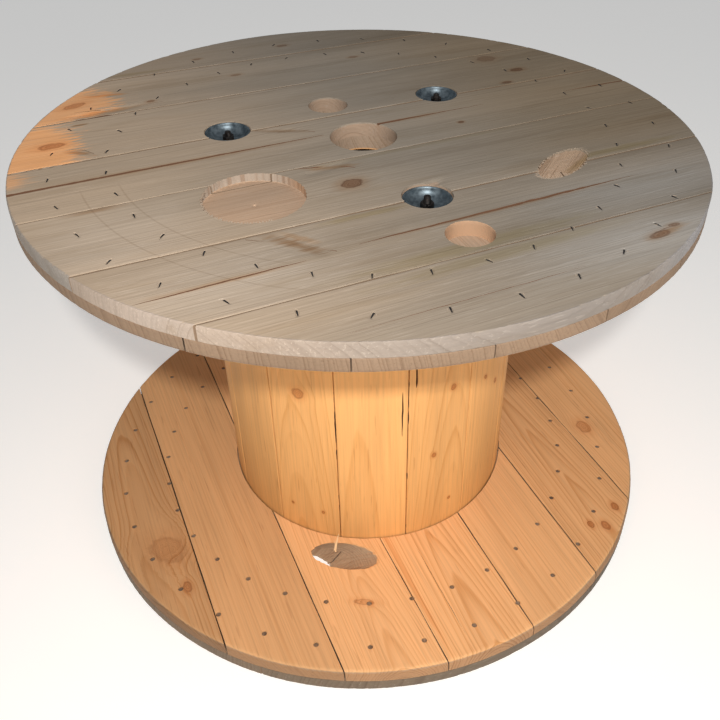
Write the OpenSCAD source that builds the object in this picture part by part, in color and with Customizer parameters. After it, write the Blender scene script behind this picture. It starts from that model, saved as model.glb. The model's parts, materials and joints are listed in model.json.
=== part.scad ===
// Wooden cable drum, standing on one flange.
// Two round flanges, each of two nailed layers of boards, are drawn together on a
// barrel of staves by three tie rods that end in cup washers.
// Millimetres, +Z up, origin on the floor at the drum's axis.

/* [Overall] */
// Diameter of both flanges
flange_d = 800; // [640:10:1000]
// Diameter of the barrel that the cable is wound on
barrel_d = 400; // [320:10:480]
// Height over both flanges
overall_h = 530; // [360:10:800]
// Diameter of the spindle bore through both flanges
bore_d = 80; // [50:1:100]

/* [Flange boards] */
// Thickness of one layer of boards
ply_t = 18; // [14:1:25]
// Width of a board
board_w = 118; // [98:1:142]
// Open seam between two boards
seam_gap = 1; // [0.4:0.1:2]
// Rounding of the rim at the face that looks at the cable
inner_edge_r = 7; // [1:1:10]
// Bevel of the rim at the outside face
outer_edge = 2; // [0.5:0.5:6]

/* [Barrel staves] */
// Thickness of a stave
stave_t = 18; // [12:1:26]
// Open joint between two staves
stave_gap = 1; // [0.4:0.1:2]
// Depth of the round groove that a stave's end stands in
groove_depth = 8; // [4:1:11]
// Room beside the stave in its groove
groove_room = 1.5; // [0.5:0.1:3]

/* [Tie rods] */
// Diameter of a tie rod
rod_d = 8; // [6:1:12]
// Room between a tie rod and the wood round it
rod_room = 0.5; // [0.2:0.1:1.5]
// Distance from the staves' inner side to a rod's axis
rod_inset = 18; // [12:1:30]
// Depth of a rod's end below the flange face
rod_end_gap = 1; // [0.5:0.5:4]
// Width of a nut across its flats
nut_af = 13; // [10:1:19]
// Height of a nut
nut_h = 6.5; // [4:0.5:10]
// Diameter of a cup washer over its rim
cup_d = 55; // [45:1:70]
// Depth of a cup washer, outside
cup_depth = 14; // [10:1:17]
// Sheet thickness of a cup washer
cup_t = 2.5; // [1:0.5:3]
// Diameter of the flat at the bottom of a cup washer
cup_flat_d = 24; // [22:1:32]

/* [Nails] */
// Distance from the rim to the outer ring of nails
outer_ring_in = 42; // [30:1:55]
// Distance from the rim to the inner ring of nails
inner_ring_in = 103; // [80:1:120]
// Diameter of a nail's shank
nail_d = 3; // [2:0.1:4]
// Diameter of a nail's head
nail_head_d = 6; // [5:0.5:8]
// Thickness of a nail's head
nail_head_t = 1.2; // [0.8:0.1:2]
// Depth of a head's top below the wood
nail_sink = 1.8; // [0.5:0.1:4]
// Length of the bent-over point
clench_l = 9; // [5:1:14]
// Thickness of the bent-over point, which lies flush in the wood
clench_t = 1.4; // [0.8:0.1:2]

/* [Holes and recesses] */
// Diameter of the slanted hole that the cable's inner end comes out of
cable_hole_d = 42; // [25:1:52]
// Slope of that hole to the flange face, in degrees
cable_slope = 27; // [24:1:50]
// Distance of that hole's mouth beyond the barrel, at the outside face
cable_out = 38; // [30:1:60]
// Diameter of the driving holes in the top flange
drive_d = 50; // [30:1:60]
// Diameter of the shallow label recess in the top flange
label_d = 110; // [80:1:132]
// Depth of the label recess
label_depth = 10; // [4:1:12]

/* [Hidden] */
$fn = 96;
BOARDS = 7;
STAVES = 14;
RODS = 3;
NAILS_PER_RING = 34;
EPS = 1;

flange_r = flange_d / 2;
barrel_r = barrel_d / 2;
flange_t = 2 * ply_t;
stave_turn = 360 / STAVES;
stave_seam_deg = -99;
rod_circle_r = barrel_r - stave_t - rod_inset;
rod_first_deg = 56.4;

// Direction the boards of each layer run in, and how far its seams sit off centre.
OUTER = 0;
INNER = 1;
top_grain_deg = [26.2, 116.2];
top_shift = [11, -5];
bottom_grain_deg = [25.2, 115.2];
bottom_shift = [0, 6];

// Depth of each cup washer's rim below the flange face; the last one was drawn in harder.
cup_sink = [1, 1, 3.5];

// The nailing jig sat a few millimetres off the axis.
top_nail_centre = [2, -1];
bottom_nail_centre = [-6, -7];
nail_first_deg = 8.6;

// Mouths of the cable holes: bearing of the mouth, and the way the drill ran inward.
top_cable_deg = -16;
top_cable_run_deg = 233;
bottom_cable_deg = -112.7;
bottom_cable_run_deg = -9;

// Holes that only the top flange has, as distance and bearing from the axis.
far_drive_r = 105.5;
far_drive_deg = 117.8;
near_drive_r = 251;
near_drive_deg = -63.2;
label_r = 189.5;
label_deg = -125;

function polar(r, deg) = [r * cos(deg), r * sin(deg)];
function grain_deg(is_top, layer) = is_top ? top_grain_deg[layer] : bottom_grain_deg[layer];
function shift(is_top, layer) = is_top ? top_shift[layer] : bottom_shift[layer];
function seam(is_top, layer, k) = shift(is_top, layer) + board_w * (k - BOARDS / 2);

// Cable hole: centre of its mouth in the outside face, its run over the flange's
// thickness, and the plan distance of a point from its axis.
function cable_mouth(is_top) = polar(barrel_r + cable_out, is_top ? top_cable_deg : bottom_cable_deg);
function cable_run_deg(is_top) = is_top ? top_cable_run_deg : bottom_cable_run_deg;
cable_run = flange_t / tan(cable_slope);
cable_reach = (flange_t + cable_hole_d) / sin(cable_slope);
function along(p, deg) = p[0] * cos(deg) + p[1] * sin(deg);
function clamped(x, lo, hi) = min(max(x, lo), hi);
function cable_dist(is_top, p) =
    let (rel = p - cable_mouth(is_top))
    let (deg = cable_run_deg(is_top))
    let (slack = cable_hole_d / 2)
    let (t = clamped(along(rel, deg), -slack, cable_run + slack))
    norm(rel - polar(t, deg));

// Nails: centre, rings, and the test that leaves out a nail that would meet a hole.
function nail_centre(is_top) = is_top ? top_nail_centre : bottom_nail_centre;
nail_rings = [flange_r - inner_ring_in, flange_r - outer_ring_in];
nail_spacing = 360 / NAILS_PER_RING;
function nail_at(is_top, ring, i) =
    nail_centre(is_top) + polar(nail_rings[ring], nail_first_deg + i * nail_spacing);
nail_room = nail_head_d / 2 + clench_l;
function meets(p, centre, d) = norm(p - centre) < d / 2 + nail_room;
function is_free(is_top, p) =
    cable_dist(is_top, p) > cable_hole_d / 2 + nail_room
    && norm(p) > barrel_r + groove_room + nail_head_d
    && !(is_top && meets(p, polar(near_drive_r, near_drive_deg), drive_d))
    && !(is_top && meets(p, polar(label_r, label_deg), label_d));
function nail_list(is_top) = [
    for (ring = [0:1]) for (i = [0:NAILS_PER_RING - 1])
        let (p = nail_at(is_top, ring, i))
        if (is_free(is_top, p)) [p[0], p[1], clench_deg(i)]
];
function clench_deg(i) = -72 + 24 * sin(97 * i);

// Outside profile of a cup washer, an arc from the rim to the flat: [radius, depth].
CUP_STEPS = 6;
function cup_point(i, wall) =
    let (a = 90 * i / CUP_STEPS)
    [cup_flat_d / 2 + (cup_d - cup_flat_d) / 2 * cos(a) - wall * cos(a),
     (cup_depth - wall) * sin(a)];

wood = [0.80, 0.62, 0.42];
grey_wood = [0.60, 0.56, 0.50];
steel = [0.42, 0.46, 0.50];

// Puts a flange's own frame, outside face at z = 0 and cable side up, in its place.
module in_flange(is_top) {
    if (is_top) translate([0, 0, overall_h]) mirror([0, 0, 1]) children();
    else children();
}

module outer_ply() {
    rotate_extrude() polygon([
        [0, 0], [flange_r - outer_edge, 0], [flange_r, outer_edge], [flange_r, ply_t], [0, ply_t]
    ]);
}

module inner_ply() {
    translate([0, 0, ply_t]) rotate_extrude() union() {
        square([flange_r, ply_t - inner_edge_r]);
        square([flange_r - inner_edge_r, ply_t]);
        translate([flange_r - inner_edge_r, ply_t - inner_edge_r]) circle(r = inner_edge_r);
    }
}

// The strip that board i of a layer is sawn to, along the grain.
module strip(is_top, layer, i) {
    low = i == 1 ? -flange_r - EPS : seam(is_top, layer, i - 1) + seam_gap / 2;
    high = i == BOARDS ? flange_r + EPS : seam(is_top, layer, i) - seam_gap / 2;
    rotate([0, 0, grain_deg(is_top, layer)])
        translate([-flange_r - EPS, low, -EPS])
            cube([2 * flange_r + 2 * EPS, high - low, flange_t + 2 * EPS]);
}

module stave_groove() {
    translate([0, 0, flange_t - groove_depth]) difference() {
        cylinder(r = barrel_r + groove_room, h = groove_depth + EPS);
        translate([0, 0, -EPS])
            cylinder(r = barrel_r - stave_t - groove_room, h = groove_depth + 3 * EPS);
    }
}

module cable_hole(is_top) {
    mouth = cable_mouth(is_top);
    translate([mouth[0], mouth[1], 0])
        rotate([0, 0, cable_run_deg(is_top)])
            rotate([0, 90 - cable_slope, 0])
                translate([0, 0, -cable_reach])
                    cylinder(d = cable_hole_d, h = 2.2 * cable_reach);
}

module round_hole(r, deg, d, depth) {
    p = polar(r, deg);
    translate([p[0], p[1], -EPS]) cylinder(d = d, h = depth + EPS);
}

module top_only_holes() {
    round_hole(far_drive_r, far_drive_deg, drive_d, flange_t + EPS);
    round_hole(near_drive_r, near_drive_deg, drive_d, ply_t);
    round_hole(label_r, label_deg, label_d, label_depth);
}

// The solid that a cup washer presses into the wood, with its rod hole.
module cup_seat(sink) {
    translate([0, 0, sink]) rotate_extrude()
        polygon(concat([[0, 0]], [for (i = [0:CUP_STEPS]) cup_point(i, 0)], [[0, cup_depth]]));
    translate([0, 0, -EPS]) cylinder(d = cup_d, h = sink + EPS);
    cylinder(d = rod_d + 2 * rod_room, h = flange_t + EPS);
}

module at_rod(i) {
    p = polar(rod_circle_r, rod_first_deg + 360 / RODS * i);
    translate([p[0], p[1], 0]) children();
}

// One nail in its flange: head towards the cable, point bent over in the outside face.
module nail(open_top) {
    shank_top = flange_t - nail_sink;
    cylinder(d = nail_d, h = shank_top, $fn = 8);
    translate([0, 0, shank_top - nail_head_t])
        cylinder(d = nail_head_d, h = nail_head_t + open_top, $fn = 12);
    translate([0, -nail_d / 2, 0]) cube([clench_l, nail_d, clench_t]);
}

module nails(is_top, open_top) {
    for (n = nail_list(is_top)) place_nail(n, open_top);
}

module place_nail(n, open_top) {
    translate([n[0], n[1], 0]) rotate([0, 0, n[2]]) nail(open_top);
}

// Only the nails that reach into board i of a layer.
module board_nails(is_top, layer, i) {
    margin = clench_l + nail_head_d;
    across = grain_deg(is_top, layer) + 90;
    low = i == 1 ? -2 * flange_r : seam(is_top, layer, i - 1) - margin;
    high = i == BOARDS ? 2 * flange_r : seam(is_top, layer, i) + margin;
    for (n = nail_list(is_top))
        if (along(n, across) > low && along(n, across) < high)
            place_nail(n, nail_sink + EPS);
}

module board(is_top, layer, i) {
    color(is_top && layer == OUTER ? grey_wood : wood) in_flange(is_top) difference() {
        intersection() {
            if (layer == OUTER) outer_ply();
            else inner_ply();
            strip(is_top, layer, i);
        }
        translate([0, 0, -EPS]) cylinder(d = bore_d, h = flange_t + 2 * EPS);
        if (layer == INNER) stave_groove();
        cable_hole(is_top);
        if (is_top) top_only_holes();
        for (k = [0:RODS - 1]) at_rod(k) cup_seat(cup_sink[k]);
        board_nails(is_top, layer, i);
    }
}

module stave(i) {
    gap_deg = stave_gap / barrel_r * 180 / PI;
    low = flange_t - groove_depth;
    color(wood)
        translate([0, 0, low])
            rotate([0, 0, stave_seam_deg + (i - 1) * stave_turn + gap_deg / 2])
                rotate_extrude(angle = stave_turn - gap_deg)
                    translate([barrel_r - stave_t, 0])
                        square([stave_t, overall_h - 2 * low]);
}

module tie_rod(i) {
    color(steel) at_rod(i - 1)
        translate([0, 0, rod_end_gap])
            cylinder(d = rod_d, h = overall_h - 2 * rod_end_gap);
}

module cup_washer() {
    difference() {
        rotate_extrude() polygon(concat(
            [for (i = [0:CUP_STEPS]) cup_point(i, 0)],
            [[0, cup_depth], [0, cup_depth - cup_t]],
            [for (i = [CUP_STEPS:-1:0]) cup_point(i, cup_t)]
        ));
        translate([0, 0, -EPS]) cylinder(d = rod_d + 2 * rod_room, h = cup_depth + 2 * EPS);
    }
}

module cup_washers(is_top) {
    color(steel) in_flange(is_top)
        for (k = [0:RODS - 1]) at_rod(k) translate([0, 0, cup_sink[k]]) cup_washer();
}

module nuts(is_top) {
    color(steel) in_flange(is_top)
        for (k = [0:RODS - 1]) at_rod(k)
            translate([0, 0, cup_sink[k] + cup_depth - cup_t - nut_h])
                difference() {
                    cylinder(d = nut_af / cos(30), h = nut_h, $fn = 6);
                    translate([0, 0, -EPS]) cylinder(d = rod_d, h = nut_h + 2 * EPS);
                }
}

module flange_nails(is_top) {
    color(steel) in_flange(is_top) nails(is_top, 0);
}

for (i = [1:BOARDS])
    board(false, OUTER, i);
for (i = [1:BOARDS])
    board(false, INNER, i);
for (i = [1:STAVES])
    stave(i);
for (i = [1:BOARDS])
    board(true, INNER, i);
for (i = [1:BOARDS])
    board(true, OUTER, i);
for (i = [1:RODS])
    tie_rod(i);
cup_washers(false);  // bottom_cup_washers
cup_washers(true);  // top_cup_washers
nuts(false);  // bottom_nuts
nuts(true);  // top_nuts
flange_nails(false);  // bottom_nails
flange_nails(true);  // top_nails
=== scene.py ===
# %% [markdown]
# # A wooden cable drum, built round its own frame
# The drum is two round board flanges, nailed up from two crossed layers of pine, with a barrel of
# upright staves between them and three threaded rods that pull it all together. The exact model
# gives every size. Each board of it is replaced here with a board that looks sawn, nailed and worn,
# and this lesson does that one kind of piece at a time.

# %% Load the exact model and measure it
import json
import math

import bpy
from mathutils import Matrix, Vector, noise


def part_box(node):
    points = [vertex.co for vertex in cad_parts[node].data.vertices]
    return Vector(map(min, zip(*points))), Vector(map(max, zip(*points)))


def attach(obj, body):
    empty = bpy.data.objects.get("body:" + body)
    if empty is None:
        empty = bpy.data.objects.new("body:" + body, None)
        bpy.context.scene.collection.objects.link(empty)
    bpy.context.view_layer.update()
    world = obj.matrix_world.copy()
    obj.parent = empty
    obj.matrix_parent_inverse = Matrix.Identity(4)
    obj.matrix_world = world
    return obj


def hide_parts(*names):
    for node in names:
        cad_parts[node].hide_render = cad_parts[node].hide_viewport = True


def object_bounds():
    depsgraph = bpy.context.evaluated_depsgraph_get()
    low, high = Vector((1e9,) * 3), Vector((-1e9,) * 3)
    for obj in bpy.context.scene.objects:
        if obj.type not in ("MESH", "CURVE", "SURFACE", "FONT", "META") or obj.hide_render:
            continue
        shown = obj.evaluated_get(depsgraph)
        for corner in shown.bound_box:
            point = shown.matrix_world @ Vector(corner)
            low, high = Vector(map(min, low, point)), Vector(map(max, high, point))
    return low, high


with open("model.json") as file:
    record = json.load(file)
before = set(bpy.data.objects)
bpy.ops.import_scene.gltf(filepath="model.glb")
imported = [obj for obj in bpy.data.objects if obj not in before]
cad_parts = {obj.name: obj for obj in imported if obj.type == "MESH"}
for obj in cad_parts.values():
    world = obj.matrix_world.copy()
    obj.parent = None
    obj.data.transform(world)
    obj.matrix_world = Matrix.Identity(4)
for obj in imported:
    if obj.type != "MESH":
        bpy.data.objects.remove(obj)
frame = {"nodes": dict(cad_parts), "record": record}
cad_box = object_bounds()
drum_height = cad_box[1][2]
drum_radius = cad_box[1][0]
print("drum height", round(drum_height, 4), "m, flange radius", round(drum_radius, 4), "m")

# %% [markdown]
# ## Colours as they are
# The default view in Blender softens strong colours. Dry pine is a strong colour, so the plain
# "Standard" view is used, in which a colour set on a board is the colour that comes out.

# %% Choose the plain view of colours
scene = bpy.context.scene
scene.view_settings.view_transform = "Standard"
scene.view_settings.look = "None"
MM = 0.001
print("view", scene.view_settings.view_transform)

# %% [markdown]
# ## The camera
# It looks down at the drum from the front, at a little under forty degrees. A camera could be
# aimed with a constraint, but three numbers say it more plainly: where it stands, how far it tips
# down, and how little it leans. The small shift puts the drum where the framing wants it.

# %% Place the camera
camera_data = bpy.data.cameras.new("camera")
camera_data.lens = 41.62
camera_data.sensor_width = 36.0
camera_data.shift_x = -0.0515
camera_data.shift_y = -0.0271
camera = bpy.data.objects.new("camera", camera_data)
tip_down, lean = math.radians(37.82), math.radians(0.64)
back_off, aim = 1.1798, Vector((0.0427, 0.0, 0.2218))
look = Vector((0.0, math.cos(tip_down), -math.sin(tip_down)))
camera.matrix_world = (Matrix.Translation(aim - look * back_off)
                       @ Matrix.Rotation(math.pi / 2 - tip_down, 4, "X")
                       @ Matrix.Rotation(lean, 4, "Z"))
scene.collection.objects.link(camera)
scene.camera = camera
print("camera at", [round(c, 3) for c in camera.matrix_world.translation])

# %% [markdown]
# ## Floor and light
# A pale floor carries the drum. It glows a little, like a light table, so that it stays pale far
# behind the drum. One small lamp, high at the front, gives the crisp edge of the shadow
# under the top flange. A large warm panel low in front reaches under the flange, a window at the right
# lifts that side, and a pale room all round fills the rest.

# %% Lay the floor
def plain_finish(name, colour, rough):
    finish = bpy.data.materials.new(name)
    finish.use_nodes = True
    shader = finish.node_tree.nodes["Principled BSDF"]
    shader.inputs["Base Color"].default_value = (*colour, 1.0)
    shader.inputs["Roughness"].default_value = rough
    return finish


floor_finish = plain_finish("pale_floor", (0.90, 0.89, 0.875), 0.9)
floor_shader = floor_finish.node_tree.nodes["Principled BSDF"]
floor_shader.inputs["Emission Color"].default_value = (1.0, 0.99, 0.97, 1.0)
floor_shader.inputs["Emission Strength"].default_value = 0.34
floor_mesh = bpy.data.meshes.new("floor")
far = 14.0
floor_mesh.from_pydata([(-far, -far, 0), (far, -far, 0), (far, far, 0), (-far, far, 0)], [], [(0, 1, 2, 3)])
floor_mesh.materials.append(floor_finish)
floor = bpy.data.objects.new("floor", floor_mesh)
scene.collection.objects.link(floor)
print("floor", 2 * far, "m wide")

# %% Hang the lamps
def lamp(name, place, aim_at, width, height, watts, colour):
    data = bpy.data.lights.new(name, "AREA")
    data.shape, data.size, data.size_y = "RECTANGLE", width, height
    data.energy, data.color = watts, colour
    light = bpy.data.objects.new(name, data)
    way = Vector(aim_at) - Vector(place)
    light.matrix_world = Matrix.Translation(place) @ way.to_track_quat("-Z", "Y").to_matrix().to_4x4()
    scene.collection.objects.link(light)
    print(name, watts, "W")
    return light


lamp("key", (0.07, -1.15, 1.255), (0.0, 0.0, 0.3), 0.06, 0.06, 16.0, (1.0, 0.97, 0.93))
lamp("low_fill", (0.30, -2.3, 0.33), (0.0, 0.0, 0.22), 1.6, 0.6, 5.5, (1.0, 0.76, 0.42))
lamp("right_window", (2.0, -1.3, 1.2), (0.0, 0.0, 0.2), 1.2, 1.2, 5, (1.0, 0.96, 0.90))
room = bpy.data.worlds.new("room")
room.use_nodes = True
room.node_tree.nodes["Background"].inputs["Color"].default_value = (0.93, 0.96, 1.0, 1.0)
room.node_tree.nodes["Background"].inputs["Strength"].default_value = 0.22
scene.world = room

# %% [markdown]
# ## A bench for materials
# Sawn pine needs a material of many small steps. To keep them readable, a short helper lays one
# step at a time on a node tree: it takes plain numbers or other steps and wires them up.

# %% A helper that lays material steps
class Bench:
    """Lays nodes on one node tree, wiring sockets and setting plain values."""

    def __init__(self, tree):
        self.tree = tree

    def lay(self, kind, values, **settings):
        step = self.tree.nodes.new("ShaderNode" + kind)
        for key, value in settings.items():
            setattr(step, key, value)
        for key, value in values.items():
            if isinstance(value, bpy.types.NodeSocket):
                self.tree.links.new(value, step.inputs[key])
            else:
                step.inputs[key].default_value = value
        return step

    def sum(self, way, a, b=0.0, c=0.0):
        return self.lay("Math", {0: a, 1: b, 2: c}, operation=way).outputs[0]

    def move(self, way, a, b):
        key = "Scale" if way == "SCALE" else 1
        return self.lay("VectorMath", {0: a, key: b}, operation=way).outputs[0]

    def ease(self, value, low, high, start=0.0, end=1.0):
        return self.lay("MapRange", {0: value, 1: low, 2: high, 3: start, 4: end},
                        interpolation_type="SMOOTHSTEP").outputs[0]

    def grain_noise(self, place, scale, detail=2.0, rough=0.5):
        stretched = self.move("MULTIPLY", place, scale)
        return self.lay("TexNoise", {"Vector": stretched, "Scale": 1.0, "Detail": detail,
                                     "Roughness": rough}).outputs[0]

    def tint(self, amount, a, b, way="MIX"):
        return self.lay("Mix", {0: amount, 6: a, 7: b}, data_type="RGBA", blend_type=way).outputs[2]

    def ramp(self, value, stops):
        step = self.lay("ValToRGB", {0: value})
        bar = step.color_ramp
        while len(bar.elements) < len(stops):
            bar.elements.new(0.5)
        for mark, (at, level) in zip(bar.elements, stops):
            mark.position, mark.color = at, (level, level, level, 1.0)
        return step.outputs[0]


def new_group(name, inputs, outputs):
    """Starts a reusable run of steps; returns the tree, its bench and its two ends."""
    tree = bpy.data.node_groups.new(name, "ShaderNodeTree")
    kinds = {"v": "NodeSocketVector", "f": "NodeSocketFloat"}
    for socket, kind in inputs:
        tree.interface.new_socket(socket, in_out="INPUT", socket_type=kinds[kind])
    for socket in outputs:
        tree.interface.new_socket(socket, in_out="OUTPUT", socket_type=kinds["f"])
    return tree, Bench(tree), tree.nodes.new("NodeGroupInput"), tree.nodes.new("NodeGroupOutput")


print("bench ready")

# %% [markdown]
# ## Growth rings
# A board is a slice of a log, and the lines on it are the log's yearly rings. They could be painted
# as stripes, but then the rim, the bore and each drilled wall would show stripes too. Here a ring is
# what it is in a tree: a shell round the pith. Every cut surface then shows the right figure by itself,
# long flames on the wide faces and arcs on the ends.

# %% Rings round the pith
rings, b, given, out = new_group(
    "growth_rings",
    [("Place", "v"), ("Pith", "v"), ("Push", "f"), ("Ring", "f"), ("Tilt", "f"), ("Warp", "f"),
     ("Seed", "f")],
    ["Late", "Fibre", "Streak", "Blotch"])
seed_step = b.lay("CombineXYZ", {0: given.outputs["Seed"], 1: given.outputs["Seed"],
                                 2: given.outputs["Seed"]})
place = b.move("ADD", given.outputs["Place"], seed_step.outputs[0])
slow = b.grain_noise(place, (1.6, 9.0, 9.0), 2.0)
quick_wave = b.grain_noise(place, (9.0, 60.0, 60.0), 2.0)
at = b.lay("SeparateXYZ", {0: given.outputs["Place"]}).outputs
pith = b.lay("SeparateXYZ", {0: given.outputs["Pith"]}).outputs
side = b.sum("ADD", b.sum("SUBTRACT", at[1], pith[1]), given.outputs["Push"])
down = b.sum("SUBTRACT", at[2], pith[2])
down = b.sum("ADD", down, b.sum("MULTIPLY", b.sum("SUBTRACT", at[0], pith[0]), given.outputs["Tilt"]))
reach = b.sum("SQRT", b.sum("ADD", b.sum("MULTIPLY", side, side), b.sum("MULTIPLY", down, down)))
reach = b.sum("MULTIPLY_ADD", b.sum("SUBTRACT", slow, 0.5), given.outputs["Warp"], reach)
reach = b.sum("MULTIPLY_ADD", b.sum("SUBTRACT", quick_wave, 0.5), 0.0016, reach)
year = b.sum("DIVIDE", reach, given.outputs["Ring"])
uneven = b.lay("TexNoise", {"W": b.sum("MULTIPLY", year, 0.45), "Scale": 1.0, "Detail": 1.0},
               noise_dimensions="1D").outputs[0]
year = b.sum("MULTIPLY_ADD", uneven, 1.6, year)
phase = b.sum("FRACT", year)
late = b.ramp(phase, [(0.0, 0.05), (0.35, 0.08), (0.68, 0.42), (0.88, 1.0), (0.95, 0.8), (1.0, 0.05)])
strength = b.lay("TexWhiteNoise", {"W": b.sum("FLOOR", year)}, noise_dimensions="1D").outputs[0]
late = b.sum("MULTIPLY", late, b.ease(strength, 0.0, 1.0, 0.30, 1.0))
b.tree.links.new(late, out.inputs["Late"])
b.tree.links.new(b.grain_noise(place, (7.0, 420.0, 420.0), 3.0, 0.6), out.inputs["Fibre"])
dashes = b.grain_noise(place, (22.0, 300.0, 300.0), 1.0)
b.tree.links.new(b.ease(dashes, 0.66, 0.76), out.inputs["Streak"])
b.tree.links.new(b.grain_noise(place, (2.2, 13.0, 13.0), 3.0, 0.55), out.inputs["Blotch"])
print("growth rings:", len(rings.nodes), "steps")

# %% [markdown]
# ## Knots and stains
# A knot is a branch that the log grew round, so the ring lines part before it and close behind it.
# The knot step gives that push, a core, a dark outline and a soft halo. The stain step is a ragged
# oval used for bruised or resin-soaked places, and for patches of painted warm light and painted sheen.

# %% A branch that the log grew round
knot_group, b, given, out = new_group(
    "knot", [("Place", "v"), ("Centre", "v"), ("Radius", "f"), ("Stretch", "f"), ("Turn", "f")],
    ["Push", "Core", "Edge", "Halo", "Eye"])
rel = b.move("SUBTRACT", given.outputs["Place"], given.outputs["Centre"])
turned_rel = b.lay("VectorRotate", {"Vector": rel, "Angle": given.outputs["Turn"]}, rotation_type="Z_AXIS")
at = b.lay("SeparateXYZ", {0: turned_rel.outputs[0]}).outputs
wobble = b.grain_noise(given.outputs["Place"], (110.0, 110.0, 20.0), 2.0)
u = b.sum("DIVIDE", b.sum("DIVIDE", at[0], given.outputs["Radius"]), given.outputs["Stretch"])
v = b.sum("DIVIDE", at[1], given.outputs["Radius"])
d = b.sum("SQRT", b.sum("ADD", b.sum("MULTIPLY", u, u), b.sum("MULTIPLY", v, v)))
d = b.sum("MULTIPLY_ADD", b.sum("SUBTRACT", wobble, 0.5), 0.7, d)
near = b.sum("EXPONENT", b.sum("MULTIPLY", b.sum("MULTIPLY", d, d), -0.22))
b.tree.links.new(b.sum("MULTIPLY", b.sum("MULTIPLY", at[1], near), -1.0), out.inputs["Push"])
b.tree.links.new(b.ease(d, 0.85, 1.08, 1.0, 0.0), out.inputs["Core"])
edge = b.sum("SUBTRACT", 1.0, b.sum("MULTIPLY", b.sum("ABSOLUTE", b.sum("SUBTRACT", d, 1.0)), 4.5))
b.tree.links.new(b.sum("MAXIMUM", edge, 0.0), out.inputs["Edge"])
b.tree.links.new(b.ease(d, 0.9, 2.6, 1.0, 0.0), out.inputs["Halo"])
years = b.sum("FRACT", b.sum("DIVIDE", b.sum("MULTIPLY", d, given.outputs["Radius"]), 0.0021))
b.tree.links.new(b.ramp(years, [(0.0, 0.1), (0.6, 0.5), (0.9, 1.0), (1.0, 0.2)]), out.inputs["Eye"])
print("knot:", len(knot_group.nodes), "steps")

# %% A ragged oval place
stain_group, b, given, out = new_group(
    "stain", [("Place", "v"), ("Centre", "v"), ("Long", "f"), ("Wide", "f"), ("Turn", "f"),
              ("Soft", "f"), ("Ragged", "f")], ["Mask"])
rel = b.move("SUBTRACT", given.outputs["Place"], given.outputs["Centre"])
turned_rel = b.lay("VectorRotate", {"Vector": rel, "Angle": given.outputs["Turn"]}, rotation_type="Z_AXIS")
at = b.lay("SeparateXYZ", {0: turned_rel.outputs[0]}).outputs
u = b.sum("POWER", b.sum("ABSOLUTE", b.sum("DIVIDE", at[0], given.outputs["Long"])), 2.6)
v = b.sum("POWER", b.sum("ABSOLUTE", b.sum("DIVIDE", at[1], given.outputs["Wide"])), 2.6)
d = b.sum("POWER", b.sum("ADD", u, v), 1 / 2.6)
torn = b.grain_noise(given.outputs["Place"], (35.0, 240.0, 60.0), 3.0, 0.6)
d = b.sum("MULTIPLY_ADD", b.sum("SUBTRACT", torn, 0.5), given.outputs["Ragged"], d)
low = b.sum("SUBTRACT", 1.0, given.outputs["Soft"])
b.tree.links.new(b.sum("SUBTRACT", 1.0, b.ease(d, low, 1.06)), out.inputs["Mask"])
print("stain:", len(stain_group.nodes), "steps")

# %% [markdown]
# ## The pine itself
# One function mixes the finish of one board. Its tones come in pairs, the pale early wood and the
# dark late wood of a ring. The FACE pairs are for the broad faces, the CUT pairs for wood below the
# surface, which is still fresh, the RIM pairs for the sawn rims, and one orange pair is painted warm
# light, an orange cast laid on a corner. The bottom flange's cut pair is that fresh wood darkened with
# painted shade. Which pair shows depends only on where the point lies on the board, so drilled walls and
# torn places take their cut tone by themselves.

# %% Tones of the pine
GREY_FACE = ((0.362, 0.302, 0.238), (0.240, 0.188, 0.138))
TOP_CUT = ((0.440, 0.320, 0.232), (0.300, 0.190, 0.122))
# the bottom flange's cut tone: fresh wood darkened and greyed with painted shade, for its holes and dimples
SHADED_CUT = ((0.440, 0.300, 0.190), (0.310, 0.185, 0.105))
GREY_CUT = ((0.440, 0.325, 0.235), (0.300, 0.190, 0.115))
GREY_RIM = ((0.245, 0.230, 0.215), (0.150, 0.135, 0.122))
PALE_RIM = ((0.330, 0.288, 0.256), (0.190, 0.156, 0.130))
TAN_RIM = ((0.285, 0.195, 0.130), (0.190, 0.118, 0.072))
WARM_RIM = ((0.400, 0.225, 0.115), (0.260, 0.130, 0.060))
DULL_RIM = ((0.165, 0.128, 0.092), (0.108, 0.076, 0.050))
# painted warm light: an orange cast laid on the corner at the left of the top
WARM_LIT = ((0.700, 0.385, 0.190), (0.500, 0.250, 0.112))
WARM_FACE = ((0.800, 0.455, 0.215), (0.610, 0.285, 0.100))
WARM_CUT = ((0.780, 0.450, 0.220), (0.600, 0.290, 0.110))
STAVE_FACE = ((0.800, 0.430, 0.160), (0.630, 0.290, 0.082))
UNDER_FACE = ((0.460, 0.340, 0.225), (0.320, 0.205, 0.115))
KNOT_BROWN = (0.620, 0.410, 0.280)
KNOT_TAN = (0.760, 0.580, 0.430)
KNOT_FAINT = (0.900, 0.780, 0.660)
OUTDOORS, SHELTERED = 1.0, 0.5
SCRIBED_ARCS = (0.327, 0.287)


def wet(colour):
    return (*colour, 1.0)


print("tones set")

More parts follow.
